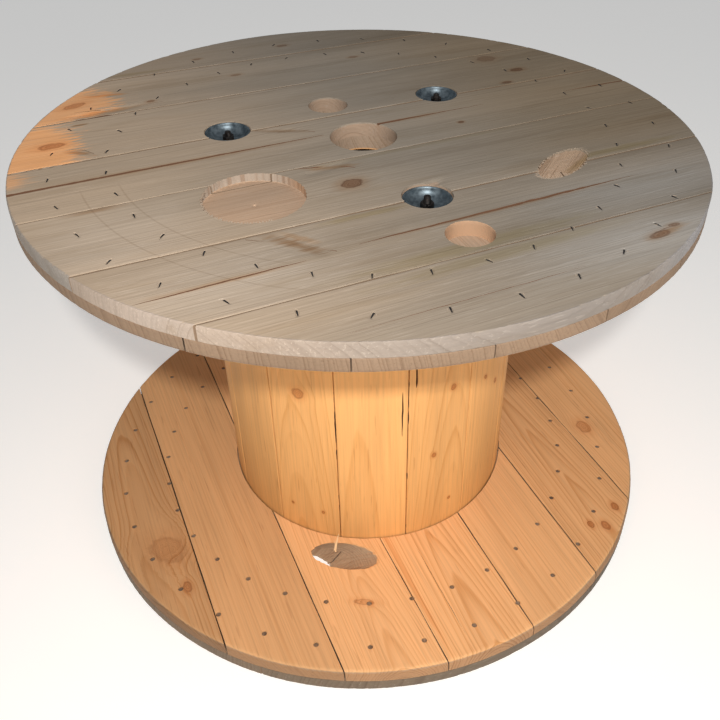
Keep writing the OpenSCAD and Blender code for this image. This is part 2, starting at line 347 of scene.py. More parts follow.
# %% Mix the finish of one board
def pine(name, seed, pith, face, rim, cut=WARM_CUT, layer=None, ring=3.4, tilt=0.0, warp=10.0, depth0=0.0,
         tone=1.0,
         contrast=0.8, knots=(), stains=(), bare=(), knot_tone=KNOT_BROWN, weather=0.0, rough=0.72):
    """Sizes in millimetres. depth0 is how far the board's face lies below its layer's."""
    finish = bpy.data.materials.new(name)
    finish.use_nodes = True
    tree = finish.node_tree
    b = Bench(tree)
    outdoors = weather == OUTDOORS
    inside = (layer or Matrix.Identity(4)).inverted()
    place = b.lay("Mapping", {"Vector": b.lay("TexCoord", {}).outputs["Object"],
                              "Location": inside.translation, "Rotation": inside.to_euler()}).outputs[0]
    at = b.lay("SeparateXYZ", {0: place}).outputs
    push = 0.0
    cores = []
    for kx, ky, radius, stretch, turn, dark in knots:
        step = b.lay("Group", {"Place": place, "Centre": (kx * MM, ky * MM, 0.0), "Radius": radius * MM,
                               "Stretch": stretch, "Turn": math.radians(-turn)}, node_tree=knot_group)
        push = b.sum("ADD", step.outputs["Push"], push)
        cores.append((step.outputs, dark))
    log = b.lay("Group", {"Place": place, "Pith": tuple(c * MM for c in pith), "Push": push,
                          "Ring": ring * MM, "Tilt": tilt, "Warp": warp * MM, "Seed": seed}, node_tree=rings)
    late, fibre = log.outputs["Late"], log.outputs["Fibre"]
    streak, blotch = log.outputs["Streak"], log.outputs["Blotch"]

    def oval(shape):
        cx, cy, long, wide, turn, soft, ragged = shape
        step = b.lay("Group", {"Place": place, "Centre": (cx * MM, cy * MM, 0.0), "Long": long * MM,
                               "Wide": wide * MM, "Turn": math.radians(-turn), "Soft": soft,
                               "Ragged": ragged}, node_tree=stain_group)
        return step.outputs["Mask"]

    early_tone, late_tone = wet(face[0]), wet(face[1])
    if rim is not None:
        depth = b.sum("SUBTRACT", b.sum("MULTIPLY", at[2], -1.0), depth0 * MM)
        below = b.ease(b.sum("MULTIPLY_ADD", b.sum("SUBTRACT", fibre, 0.5), 0.0008, depth), 0.0011, 0.0021)
        # painted warm light: an orange cast inside the listed ovals
        warm_lit_mask = 0.0
        for shape in bare:
            warm_lit_mask = b.sum("MAXIMUM", warm_lit_mask, b.sum("MULTIPLY", oval(shape[:7]), shape[7]))
        out_from = b.sum("SQRT", b.sum("ADD", b.sum("MULTIPLY", at[0], at[0]),
                                       b.sum("MULTIPLY", at[1], at[1])))
        at_rim = b.ease(b.sum("MULTIPLY_ADD", b.sum("SUBTRACT", fibre, 0.5), 0.004, out_from),
                        drum_radius - 0.0030, drum_radius - 0.0012)
        early_tone = b.tint(at_rim, b.tint(below, b.tint(warm_lit_mask, early_tone, wet(WARM_LIT[0])), wet(cut[0])),
                            wet(rim[0]))
        late_tone = b.tint(at_rim, b.tint(below, b.tint(warm_lit_mask, late_tone, wet(WARM_LIT[1])), wet(cut[1])),
                           wet(rim[1]))
    colour = b.tint(b.sum("MULTIPLY", late, contrast), early_tone, late_tone)
    grain = [(0.25, (0.92 if outdoors else 0.86) * tone), (0.5, tone), (0.8, 1.08 * tone)]
    colour = b.tint(1.0, colour, b.ramp(fibre, grain), "MULTIPLY")
    colour = b.tint(1.0, colour, b.ramp(blotch, [(0.25, 0.86), (0.5, 1.0), (0.75, 1.08)]), "MULTIPLY")
    colour = b.tint(b.sum("MULTIPLY", streak, 0.14 if outdoors else 0.30), colour, wet((0.55, 0.42, 0.34)),
                    "MULTIPLY")
    if weather:
        lint = b.grain_noise(place, (26.0, 900.0, 300.0), 2.0, 0.7)
        colour = b.tint(b.sum("MULTIPLY", b.ease(lint, 0.56, 0.70), 0.20 * weather), colour,
                        wet((0.62, 0.56, 0.50)))
        dirt = b.grain_noise(place, (3.0, 26.0, 26.0), 4.0, 0.62)
        colour = b.tint(b.sum("MULTIPLY", b.ease(dirt, 0.50, 0.72), 0.40 * weather), colour,
                        wet((0.70, 0.62, 0.50)), "MULTIPLY")
        silver = b.grain_noise(place, (1.4, 8.0, 8.0), 2.0, 0.5)
        colour = b.tint(b.sum("MULTIPLY", b.ease(silver, 0.38, 0.62), 0.9 * weather), colour,
                        wet((0.86, 0.88, 0.90)), "MULTIPLY")
        if outdoors:
            far_right = b.sum("MULTIPLY", b.ease(at[0], 0.02, 0.30), b.ease(at[1], -0.20, -0.10))
            colour = b.tint(far_right, colour, wet((0.88, 0.80, 0.68)), "MULTIPLY")
            low_left = b.sum("MULTIPLY", b.ease(at[0], -0.20, -0.14, 1.0, 0.0),
                             b.ease(at[1], -0.02, 0.01, 1.0, 0.0))
            for radius in SCRIBED_ARCS:
                off = b.sum("ABSOLUTE", b.sum("SUBTRACT", out_from, radius))
                line = b.sum("MULTIPLY", b.ease(off, 0.0004, 0.0014, 0.22, 0.0), low_left)
                colour = b.tint(line, colour, wet((0.45, 0.36, 0.28)), "MULTIPLY")
        # painted warm light: the face grows lighter and warmer towards its left end
        lit_left_end = b.ease(at[0], -0.36, 0.08, 1.0, 0.0)
        colour = b.tint(b.sum("MULTIPLY", lit_left_end, weather), colour, wet((1.56, 1.42, 1.28)), "MULTIPLY")
    for cx, cy, long, wide, turn, soft, ragged, tint_colour, amount in stains:
        mask = oval((cx, cy, long, wide, turn, soft, ragged))
        colour = b.tint(b.sum("MULTIPLY", mask, amount), colour, wet(tint_colour), "MULTIPLY")
    for core, dark in cores:
        colour = b.tint(b.sum("MULTIPLY", core["Halo"], 0.20 + 0.40 * dark), colour, wet((0.84, 0.62, 0.44)),
                        "MULTIPLY")
        colour = b.tint(b.sum("MULTIPLY", core["Core"], 0.15 + 0.50 * dark), colour, wet(knot_tone),
                        "MULTIPLY")
        eye = b.sum("MULTIPLY", b.sum("MULTIPLY", core["Eye"], core["Core"]), 0.35 + 0.45 * dark)
        colour = b.tint(eye, colour, wet((0.50, 0.34, 0.24)), "MULTIPLY")
        colour = b.tint(b.sum("MULTIPLY", core["Edge"], 0.20 + 0.50 * dark), colour, wet((0.34, 0.20, 0.13)),
                        "MULTIPLY")
    height = b.sum("MULTIPLY_ADD", late, -0.35, b.sum("MULTIPLY", fibre, 0.8))
    bump = b.lay("Bump", {"Height": height, "Strength": 0.55, "Distance": 0.0006})
    shader = tree.nodes["Principled BSDF"]
    tree.links.new(colour, shader.inputs["Base Color"])
    tree.links.new(b.ease(fibre, 0.2, 0.8, rough - 0.08, rough + 0.1), shader.inputs["Roughness"])
    tree.links.new(bump.outputs[0], shader.inputs["Normal"])
    shader.inputs["Specular IOR Level"].default_value = 0.28
    return finish


print("pine ready")

# %% [markdown]
# ## Where each board lies
# A flange is two layers: the outer one, which looks away from the cable, and the inner one, laid
# nearly square across it. Every layer gets a working frame of its own: x runs with the grain, y across
# it, and z points out of the face that is seen. Then one way of sawing a board serves all four layers,
# and the exact model's own boards are measured in that frame, so nothing is typed in twice.

# %% Working frames for the four layers
def facing(up):
    """Leaves a shape as it is, or turns it over when its face looks down."""
    return Matrix.Identity(4) if up else Matrix.Rotation(math.pi, 4, "X")


def layer_frame(grain_deg, face_z, faces_up):
    turn = Matrix.Rotation(math.radians(grain_deg), 4, "Z")
    return Matrix.Translation((0, 0, face_z)) @ turn @ facing(faces_up)


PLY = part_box("bottom_outer_board_4")[1].z
FLANGE = 2 * PLY
layers = {
    "top_outer": layer_frame(26.2, drum_height, True),
    "top_inner": layer_frame(116.2, drum_height - FLANGE, False),
    "bottom_inner": layer_frame(115.2, FLANGE, True),
    "bottom_outer": layer_frame(25.2, 0.0, False),
}


def measured(node, layer):
    """Lowest and highest corner of a CAD node in a working frame."""
    inside = layer.inverted()
    points = [inside @ v.co for v in frame["nodes"][node].data.vertices]
    return (Vector(min(p[i] for p in points) for i in range(3)),
            Vector(max(p[i] for p in points) for i in range(3)))


print("board thickness", round(PLY, 4), "m; layers", list(layers))

# %% [markdown]
# ## Sawing a board
# A real board is never a box. It stands a little higher or lower than the next one, it cups, its face
# waves, its long edges are eased and wander. So a board starts as a fine sheet of points whose height
# comes from a small function, closed underneath. Round rims and holes are cut afterwards, with solid
# cutters, so that their walls are true and sharp.

# %% Saw one board as a fine closed block
WOOD, CRACK, SCORCH, SEAM = range(4)
SEAM_GAP, CAD_GAP = 0.0004, 0.0010
FINEST, FINE, COARSE = (0.006, 0.0030), (0.006, 0.0032), (0.010, 0.006)


def around(radius, angle, z=0.0):
    """The point at a radius and an angle round the origin."""
    return Vector((radius * math.cos(angle), radius * math.sin(angle), z))


def solid(name, points, faces, finishes, layer=None, marks=None):
    """A closed mesh whose faces all look outward; marks says which finish each face takes."""
    points = [Vector(p) for p in points]
    volume = sum(points[f[0]].dot(points[f[i]].cross(points[f[i + 1]])) for f in faces
                 for i in range(1, len(f) - 1))
    if volume < 0:
        faces = [tuple(f)[::-1] for f in faces]
    mesh = bpy.data.meshes.new(name)
    mesh.from_pydata(points, [], faces)
    for finish in finishes:
        mesh.materials.append(finish)
    if marks is not None:
        mesh.polygons.foreach_set("material_index", marks)
    piece = bpy.data.objects.new(name, mesh)
    if layer is not None:
        piece.matrix_world = layer
    scene.collection.objects.link(piece)
    return piece


def steps(low, high, stride, edge=()):
    """Even stops from low to high, with extra ones close to both ends."""
    inner_low, inner_high = low + sum(edge), high - sum(edge)
    count = max(2, round((inner_high - inner_low) / stride))
    stops = [low]
    for e in edge:
        stops.append(stops[-1] + e)
    stops += [inner_low + (inner_high - inner_low) * i / count for i in range(1, count)]
    tail = [high]
    for e in edge:
        tail.append(tail[-1] - e)
    return stops + tail[::-1]


def sawn_board(name, low, high, height, finishes, layer, stride, gap):
    """height(x, y) is how far the face lies above the layer's face: never above zero."""
    seed = (sum(map(ord, name)) % 97) * 1.37
    xs = steps(low.x - 0.004, high.x + 0.004, stride[0])
    widen = (CAD_GAP - gap) / 2
    y_low = low.y - (widen if low.y > -0.95 * drum_radius else 0.004)
    y_high = high.y + (widen if high.y < 0.95 * drum_radius else 0.004)
    ys = steps(y_low, y_high, stride[1], edge=(0.0003, 0.0006, 0.0012))
    points, grid = [], {}
    last = len(ys) - 1
    for i, x in enumerate(xs):
        for j, y in enumerate(ys):
            edge = min(y - ys[0], ys[last] - y)
            side = 1 if j < last / 2 else -1
            wander = noise.noise(Vector((x * 14, seed + side, 0.0)))
            wear = noise.noise(Vector((x * 30, seed - side, 2.0)))
            stray = 0.0005 * (1 + wander) * max(0.0, 1 - edge / 0.004)
            ease = 0.0004 * (1.1 + wear) * max(0.0, 1 - edge / 0.0012) ** 2
            grid[i, j] = len(points)
            points.append((x, y + side * stray, height(x, y) - ease))
    ring = ([(i, 0) for i in range(len(xs))] + [(len(xs) - 1, j) for j in range(1, last + 1)]
            + [(i, last) for i in range(len(xs) - 2, -1, -1)] + [(0, j) for j in range(last - 1, 0, -1)])
    foot = {}
    for i, j in ring:
        foot[i, j] = len(points)
        x, y, _ = points[grid[i, j]]
        points.append((x, y, -PLY))
    faces = [(grid[i, j], grid[i + 1, j], grid[i + 1, j + 1], grid[i, j + 1])
             for i in range(len(xs) - 1) for j in range(last)]
    for a, c in zip(ring, ring[1:] + ring[:1]):
        faces.append((grid[c], grid[a], foot[a], foot[c]))
    faces.append(tuple(foot[a] for a in reversed(ring)))
    # the side walls, which face the next board, take the seam finish: painted shade
    marks = [WOOD] * (len(faces) - len(ring) - 1) + [SEAM] * len(ring) + [WOOD]
    return solid(name, points, faces, finishes, layer, marks)


print("saw ready")

# %% [markdown]
# ## Finishes inside a cut
# A crack, the gap between two boards and the milled wall of the label recess are each darker than the
# wood round them. A crack is nearly black brown, the walls of a gap carry painted shade, and the milling
# cutter scorched the wall in bars. A cutter hands its finish on to the surface that it leaves behind.

# %% Finishes inside a cut
crack_finish = plain_finish("crack_shade", (0.130, 0.060, 0.030), 0.9)
# painted shade on the walls between boards, where the gap lies in shadow
seam_shade_finish = plain_finish("seam_shade", (0.235, 0.160, 0.105), 0.9)
LABEL_D, LABEL_DEPTH = 0.110, 0.010
label_at = around(0.1895, math.radians(-125))


def scorched():
    """The milled wall: brown bars where the cutter rubbed, plain orange wood at the right."""
    finish = plain_finish("scorched_wall", (0.5, 0.3, 0.15), 0.8)
    tree = finish.node_tree
    b = Bench(tree)
    at = b.lay("SeparateXYZ", {0: b.lay("TexCoord", {}).outputs["Object"]}).outputs
    x, y = b.sum("SUBTRACT", at[0], label_at.x), b.sum("SUBTRACT", at[1], label_at.y)
    bearing = b.sum("ARCTAN2", y, x)
    bars = b.lay("TexNoise", {"W": bearing, "Scale": 7.0, "Detail": 3.0}, noise_dimensions="1D").outputs[0]
    right = b.ease(b.sum("COSINE", bearing), 0.35, 0.85)
    colour = b.tint(right, wet((0.46, 0.375, 0.30)), wet((0.50, 0.315, 0.195)))
    colour = b.tint(b.sum("MULTIPLY", b.ease(bars, 0.46, 0.66), 0.55), colour, wet((0.30, 0.185, 0.115)))
    tree.links.new(colour, tree.nodes["Principled BSDF"].inputs["Base Color"])
    return finish


scorch_finish = scorched()
tool_finishes = [plain_finish("tool", (0.5, 0.5, 0.5), 0.9), crack_finish, scorch_finish]
print("finishes inside a cut:", [m.name for m in (crack_finish, scorch_finish, seam_shade_finish)])

# %% [markdown]
# ## Cutters
# Whatever a workshop would turn, bore or saw away is made here as a solid that is taken off the
# boards. A turned cutter is a profile swept round an axis. A small wobble near the surface leaves the
# torn fibres that a drill leaves in soft wood.

# %% Turned shapes and copies
def skin(rings_round, turns):
    """Faces of a shape swept round its axis: a pole, some rings of points, and a pole again."""
    faces = []
    for t in range(turns):
        n = (t + 1) % turns
        faces.append((0, 1 + n, 1 + t))
        for k in range(rings_round - 1):
            base, above = 1 + k * turns, 1 + (k + 1) * turns
            faces.append((base + t, base + n, above + n, above + t))
        last = 1 + (rings_round - 1) * turns
        faces.append((last + turns, last + t, last + n))
    return faces


def turned(name, profile, turns=96, wobble=None, place=None, index=None):
    """profile: (radius, height) from one pole to the other, both on the axis."""
    points = [(0, 0, profile[0][1])]
    for k, (radius, z) in enumerate(profile[1:-1]):
        for t in range(turns):
            a = 2 * math.pi * t / turns
            r, h = (radius, z) if wobble is None else wobble(a, k, radius, z)
            points.append(around(r, a, h))
    points.append((0, 0, profile[-1][1]))
    walls = index or [WOOD] * (len(profile) - 3)
    marks = [WOOD, *walls, WOOD] * turns
    return solid(name, points, skin(len(profile) - 2, turns), tool_finishes, place, marks)


def hoop(loop, turns=72, wobble=None):
    """A profile that doesn't reach the axis, swept right round: (radius, height) pairs."""
    points, faces, n = [], [], len(loop)
    for t in range(turns):
        a = 2 * math.pi * t / turns
        for k, (radius, z) in enumerate(loop):
            r, h = (radius, z) if wobble is None else wobble(a, k, radius, z)
            points.append(around(r, a, h))
    for t in range(turns):
        a, c = n * t, n * ((t + 1) % turns)
        faces += [(a + k, c + k, c + (k + 1) % n, a + (k + 1) % n) for k in range(n)]
    return points, faces


def gathered(shapes):
    """Several shapes as one mesh."""
    points, faces = [], []
    for shape_points, shape_faces in shapes:
        base = len(points)
        points += shape_points
        faces += [tuple(base + i for i in f) for f in shape_faces]
    return points, faces


def copies(shape, places):
    """The same shape set down at several places, as one mesh."""
    return gathered(([place @ p for p in shape[0]], shape[1]) for place in places)


print("turning bench ready")

# %% Tools that cut
tools = []


def tool(piece):
    piece.hide_render = True
    tools.append(piece)
    return piece


def ragged(a, seed, fine=14.0):
    """Between 0 and 1 round a hole, the same at both ends of the turn."""
    return 0.5 + 0.5 * noise.noise(around(fine, a, seed))


print("cutter bench ready")

# %% Cut a board and tidy its mesh
def world_box(piece):
    corners = [piece.matrix_world @ Vector(c) for c in piece.bound_box]
    return [min(c[i] for c in corners) for i in range(3)], [max(c[i] for c in corners) for i in range(3)]


def meet(one, two):
    (a, b), (c, d) = world_box(one), world_box(two)
    return all(a[i] < d[i] and c[i] < b[i] for i in range(3))


def work(piece, keep=(), take=(), sharp=34):
    """Keeps what lies in the keep solids and takes the take solids off, then smooths the shading."""
    bpy.context.view_layer.update()
    for solids, way in ((keep, "INTERSECT"), (take, "DIFFERENCE")):
        for cutter in solids:
            if way == "DIFFERENCE" and not meet(piece, cutter):
                continue
            step = piece.modifiers.new("cut", "BOOLEAN")
            step.object, step.operation = cutter, way
            step.solver, step.material_mode = "MANIFOLD", "INDEX"
    ready = piece.evaluated_get(bpy.context.evaluated_depsgraph_get())
    mesh = bpy.data.meshes.new_from_object(ready)
    piece.modifiers.clear()
    piece.data = mesh
    mesh.transform(piece.matrix_world)
    piece.matrix_world = Matrix.Identity(4)
    mesh.polygons.foreach_set("use_smooth", [True] * len(mesh.polygons))
    mesh.set_sharp_from_angle(angle=math.radians(sharp))
    return piece


print("boards can be cut")

# %% [markdown]
# ## The round rims
# Each layer was sawn round after nailing. The saw left upright scratches and a slightly unsteady
# edge; the cable side of a flange was rounded over so that it can't cut the cable. A disc with that
# profile trims all seven boards of a layer at once.

# %% Turn the four rim discs
def rim_disc(name, profile, face_z, up, seed):
    """profile: (inset from the rim, depth below the outer face)."""
    way = 1 if up else -1
    wall = [(drum_radius - inset, face_z - way * depth) for inset, depth in profile]
    stations = [(0, face_z + way * 0.002), *wall, (0, face_z - way * PLY)]

    def scratch(a, k, r, z):
        saw = 0.0005 * noise.noise(around(150, a, seed))
        sway = 0.0006 * noise.noise(around(5, a, seed + 3))
        chip = 0.0
        if k in (1, 2):
            chip = 0.0028 * max(0.0, noise.noise(around(60, a, seed + 9)) - 0.25)
        return (min(drum_radius, r - 0.0006 + saw * 0.6 + sway) - chip if r > 0.3 else r), z

    return tool(turned(name, stations, turns=720, wobble=scratch))


eased = [(0.0016, -0.002), (0.0016, 0.0), (0.0006, 0.0008), (0.0, 0.0024), (0.0, 0.009), (0.0, PLY - 0.0008),
         (0.0006, PLY)]
ROLL = 0.007
roll = [(ROLL - ROLL * math.sin(math.radians(a)), ROLL - ROLL * math.cos(math.radians(a)))
        for a in (0, 18, 36, 54, 72, 90)]
rolled = [(0.0076, -0.002), *roll, (0.0, PLY - 0.0008), (0.0006, PLY)]
rims = {
    "top_outer": rim_disc("disc_top_outer", eased, drum_height, True, 1.0),
    "top_inner": rim_disc("disc_top_inner", rolled, drum_height - FLANGE, False, 4.0),
    "bottom_inner": rim_disc("disc_bottom_inner", rolled, FLANGE, True, 7.0),
    "bottom_outer": rim_disc("disc_bottom_outer", eased, 0.0, False, 11.0),
}
print("rim discs", len(rims))

# %% [markdown]
# ## Bores and drilled holes
# The spindle bore runs right through. Beside it are a driving hole that goes through the top flange and
# one that stops at its second layer. The exact model's record knows where they are and how wide.

# %% Bore, driving holes and label recess
mounts = {m["name"]: m for m in frame["record"]["mounts"]}


def drill(name, centre, radius, top, bottom, seed, tear=0.0012, index=None):
    """A drilled hole from top down to bottom, torn a little where the drill went in."""
    lift = 0.003
    profile = [(0, top + lift), (radius, top + lift), (radius, top), (radius, top - 0.0015),
               (radius, top - 0.005), (radius, (top + bottom) / 2), (radius, bottom), (0, bottom)]

    def torn(a, k, r, z):
        if k <= 1:
            return r + tear * max(0.0, ragged(a, seed) - 0.35) + 0.0003, z
        return r + 0.0003 * (ragged(a, seed + k, 22.0) - 0.5), z

    return tool(turned(name, profile, wobble=torn, place=Matrix.Translation((*centre, 0)), index=index))


bore = mounts["spindle_bore"]
near_hole, far_hole = mounts["near_drive_hole"], mounts["far_drive_hole"]
bore_cut = drill("cut_bore", (0, 0), bore["dims"]["r_mm"] * MM, drum_height, -0.01, 2.0)
near_cut = drill("cut_near", near_hole["pos_m"][:2], near_hole["dims"]["r_mm"] * MM,
                 drum_height, drum_height - PLY - 0.0002, 5.0, tear=0.003, index=[SCORCH] * 5)
far_cut = drill("cut_far", far_hole["pos_m"][:2], far_hole["dims"]["r_mm"] * MM,
                drum_height, drum_height - FLANGE - 0.01, 8.0)
print("bore", bore["dims"]["r_mm"] * 2, "mm; driving holes", near_hole["dims"]["r_mm"] * 2, "mm")

# %% [markdown]
# The round recess beside the bore was milled for a label. A milling cutter leaves faint circles on
# the floor, a small pit in the middle and chatter on the wall, scorched here and there.

# %% Mill the label recess
cutter_rings = [(0.004 + 0.0035 * i, 0.0002 * (i % 2)) for i in range(14)]
floor_rings = [(0.0012, 0.0016), (0.0022, 0.0004), *cutter_rings]
recess_profile = ([(0, drum_height - LABEL_DEPTH - 0.0020)]
                  + [(r, drum_height - LABEL_DEPTH - h) for r, h in floor_rings]
                  + [(LABEL_D / 2 - 0.0006, drum_height - LABEL_DEPTH),
                     (LABEL_D / 2, drum_height - LABEL_DEPTH + 0.0006),
                     (LABEL_D / 2, drum_height - 0.004), (LABEL_D / 2, drum_height - 0.0008),
                     (LABEL_D / 2, drum_height + 0.003), (0, drum_height + 0.003)])


def chatter(a, _, r, z):
    if r > LABEL_D / 2 - 0.0001:
        r += 0.00035 * math.sin(a * 46) * (0.4 + ragged(a, 1.0, 3.0))
        if z > drum_height - 0.001:
            r += 0.0022 * max(0.0, ragged(a, 3.0, 16.0) - 0.45)
    return r, z


floor_bands = len(floor_rings) + 1
walls = [WOOD] * floor_bands + [SCORCH] * (len(recess_profile) - 3 - floor_bands)
recess_cut = tool(turned("cut_recess", recess_profile, 180, chatter, Matrix.Translation(label_at), walls))
print("label recess", LABEL_D, "m wide,", LABEL_DEPTH, "m deep")

# %% [markdown]
# ## The slanted cable holes
# The cable's inner end leaves the winding through a hole drilled at a low slant, so it can lie along
# the face without a kink. Where a round drill meets the face at a slant it leaves a long oval.

# %% Drill the cable holes
CABLE_D, CABLE_SLOPE, CABLE_R = 0.042, 27.0, drum_radius * 0.595


def cable_drill(name, face_z, up, mouth_deg, run_deg, seed):
    """Runs inward from its mouth in the outside face: down from the top, up from the bottom."""
    mouth = around(CABLE_R, math.radians(mouth_deg), face_z)
    tilt = 90 + CABLE_SLOPE if up else 90 - CABLE_SLOPE
    sit = (Matrix.Translation(mouth) @ Matrix.Rotation(math.radians(run_deg), 4, "Z")
           @ Matrix.Rotation(math.radians(tilt), 4, "Y"))
    stops = [-0.085 + 0.004 * i for i in range(65)]
    profile = [(0, stops[0])] + [(CABLE_D / 2, s) for s in stops] + [(0, stops[-1])]

    def torn(a, _, r, z):
        rough = noise.noise(around(9, a, z * 40 + seed))
        fibre = noise.noise(around(26, a, z * 25 + seed))
        return r + 0.0009 * rough + 0.0007 * fibre, z

    return tool(turned(name, profile, 96, torn, sit))


top_cable_cut = cable_drill("cut_cable_top", drum_height, True, -16.0, 233.0, 1.0)
bottom_cable_cut = cable_drill("cut_cable_bottom", 0.0, False, -112.7, -9.0, 6.0)
print("cable holes", CABLE_D, "m at", CABLE_SLOPE, "degrees")

# %% [markdown]
# ## Seats for rods and staves
# A domed cup under every nut is drawn into the wood as the rods are tightened. The staves stand in a
# ring groove cut in each flange's cable side. The rods themselves say where the seats go.

# %% Cut seats and grooves
CUP_D, CUP_DEPTH, CUP_WALL, CUP_FLAT = 0.055, 0.014, 0.0025, 0.024
CUP_SINK = (0.001, 0.001, 0.0035)
ROD_HOLE_R = 0.0052
rods = [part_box("tie_rod_%d" % (k + 1)) for k in range(3)]
rod_at = [Vector(((lo.x + hi.x) / 2, (lo.y + hi.y) / 2, 0)) for lo, hi in rods]
seat_cuts = []
for k, spot in enumerate(rod_at):
    for face_z, way, end in ((drum_height, 1, "top"), (0.0, -1, "bottom")):
        deep = CUP_SINK[k] + CUP_DEPTH
        r = CUP_D / 2 + 0.0003
        z = [face_z + way * 0.003, face_z, face_z - way * 0.0012, face_z - way * (CUP_SINK[k] + 0.001),
             face_z - way * (CUP_SINK[k] + 0.006), face_z - way * (CUP_SINK[k] + 0.011), face_z - way * deep]
        profile = [(0, z[0]), (r, z[0]), (r, z[1]), (r, z[2]), (r, z[3]), (r - 0.0035, z[4]),
                   (r - 0.0095, z[5]), (CUP_FLAT / 2, z[6]), (ROD_HOLE_R, z[6]),
                   (ROD_HOLE_R, face_z - way * 0.05), (0, face_z - way * 0.05)]

        def torn(a, ring, radius, z, seed=k * 3.1):
            lip = 0.0014 * max(0.0, ragged(a, seed, 6.0) - 0.55)
            return (radius + lip if ring <= 1 else radius), z

        seat_cuts.append(tool(turned("cut_seat_%s_%d" % (end, k), profile, 72, torn,
                                     Matrix.Translation(spot))))

BARREL_R = max(math.hypot(v.co.x, v.co.y) for v in frame["nodes"]["stave_1"].data.vertices)
STAVE_T = 0.018
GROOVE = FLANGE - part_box("stave_1")[0].z


def groove_ring(name, z_open, z_floor):
    """A square-sided ring, slightly ragged at its outer edge."""
    small, big = BARREL_R - STAVE_T - 0.0015, BARREL_R + 0.0014

    def torn(a, k, r, z):
        return (r + 0.0008 * (ragged(a, z_floor * 90, 40.0) - 0.4) if k in (1, 2) else r), z

    loop = [(small, z_open), (big, z_open), (big, z_floor), (small, z_floor)]
    return tool(solid(name, *hoop(loop, 256, torn), tool_finishes))


groove_cuts = {
    "bottom_inner": groove_ring("cut_groove_bottom", FLANGE + 0.003, FLANGE - GROOVE - 0.0002),
    "top_inner": groove_ring("cut_groove_top", drum_height - FLANGE - 0.003,
                             drum_height - FLANGE + GROOVE + 0.0002),
}
print("barrel radius", round(BARREL_R, 4), "m; groove", round(GROOVE, 4), "m deep;", len(seat_cuts), "seats")

# %% [markdown]
# ## Nails
# Two rings of wire nails hold the layers of a flange together. They were driven from the cable side,
# their points came out at the outside face and were hammered flat. So one side shows small sunk heads
# and the other short dark hooks, each in a bruise of its own. The exact model tells where each nail
# stands and which way its point was bent.

# %% Find the nails in the exact model
HEAD_SINK = 0.0018
NAIL_REACH = 0.018


def find_nails(node, head_z, point_z):
    """Sorts the corners of a node into nails; gives each nail's place and the bearing of its point."""
    groups = []
    for vert in frame["nodes"][node].data.vertices:
        for group in groups:
            if (group[0].xy - vert.co.xy).length < NAIL_REACH:
                group.append(vert.co)
                break
        else:
            groups.append([vert.co])
    found = []
    for group in groups:
        head = [p.xy for p in group if abs(p.z - head_z) < 0.0026]
        centre = Vector(((min(p.x for p in head) + max(p.x for p in head)) / 2,
                         (min(p.y for p in head) + max(p.y for p in head)) / 2))
        tip = max((p.xy for p in group if abs(p.z - point_z) < 0.0012), key=lambda p: (p - centre).length)
        found.append((centre, math.atan2(tip.y - centre.y, tip.x - centre.x)))
    return found


nail_sets = {
    "top": find_nails("top_nails", drum_height - FLANGE + HEAD_SINK, drum_height),
    "bottom": find_nails("bottom_nails", FLANGE - HEAD_SINK, 0.0),
}
print("nails found:", {k: len(v) for k, v in nail_sets.items()})

# %% Sink a dimple for every head and a bruise for every hook
def dimple(seed):
    """A short cutter for one sunk head, torn at its lip."""
    points, turns = [Vector((0, 0, 0.002))], 12
    for r, z in ((0.0041, 0.002), (0.0041, 0.0), (0.0034, -0.0005), (0.0031, -0.0031)):
        for t in range(turns):
            a = 2 * math.pi * t / turns
            lip = 0.0008 * max(0.0, ragged(a, seed, 2.0) - 0.4) if z > -0.0003 else 0
            points.append(around(r + lip, a, z))
    points.append(Vector((0, 0, -0.0031)))
    return points, skin(4, turns)


def bruise(seed):
    """A shallow long trough, deepest where the nail comes up."""
    points, turns = [Vector((0.003, 0, 0.002))], 14
    for shrink, z in ((1.0, 0.002), (1.0, 0.0), (0.72, -0.0011)):
        for t in range(turns):
            a = 2 * math.pi * t / turns
            rough = 1 + 0.5 * (ragged(a, seed, 2.5) - 0.5)
            points.append(Vector((0.0035 + 0.0072 * shrink * math.cos(a) * rough,
                                  0.0024 * shrink * math.sin(a) * rough, z)))
    points.append(Vector((0.003, 0, -0.0012)))
    return points, skin(3, turns)


def stand(spot, angle, face_z, up):
    """Where a nail's own frame goes: x along its bent point, z out of the face."""
    return Matrix.Translation((spot.x, spot.y, face_z)) @ Matrix.Rotation(angle, 4, "Z") @ facing(up)


nail_faces = {"top": (drum_height - FLANGE, False, drum_height, True), "bottom": (FLANGE, True, 0.0, False)}
dimple_cuts, bruise_cuts = {}, {}
for end, (head_z, head_up, point_z, point_up) in nail_faces.items():
    dimples = [copies(dimple(k * 1.7), [stand(spot, angle, head_z, head_up)])
               for k, (spot, angle) in enumerate(nail_sets[end])]
    bruises = [copies(bruise(k * 2.3), [stand(spot, angle, point_z, point_up)])
               for k, (spot, angle) in enumerate(nail_sets[end])]
    dimple_cuts[end] = tool(solid("cut_dimples_" + end, *gathered(dimples), tool_finishes))
    bruise_cuts[end] = tool(solid("cut_bruises_" + end, *gathered(bruises), tool_finishes))
print("dimples and bruises cut for", list(dimple_cuts))

# %% [markdown]
# ## Splits and torn places
# Dry boards split along the grain, and the saw and the drills tear pieces out. A split is cut as a thin
# wedge that follows the grain and thins out to nothing; a torn place is a shallow dip in the face with
# a crisp, ragged edge. Both are real hollows, so they hold their own shade.

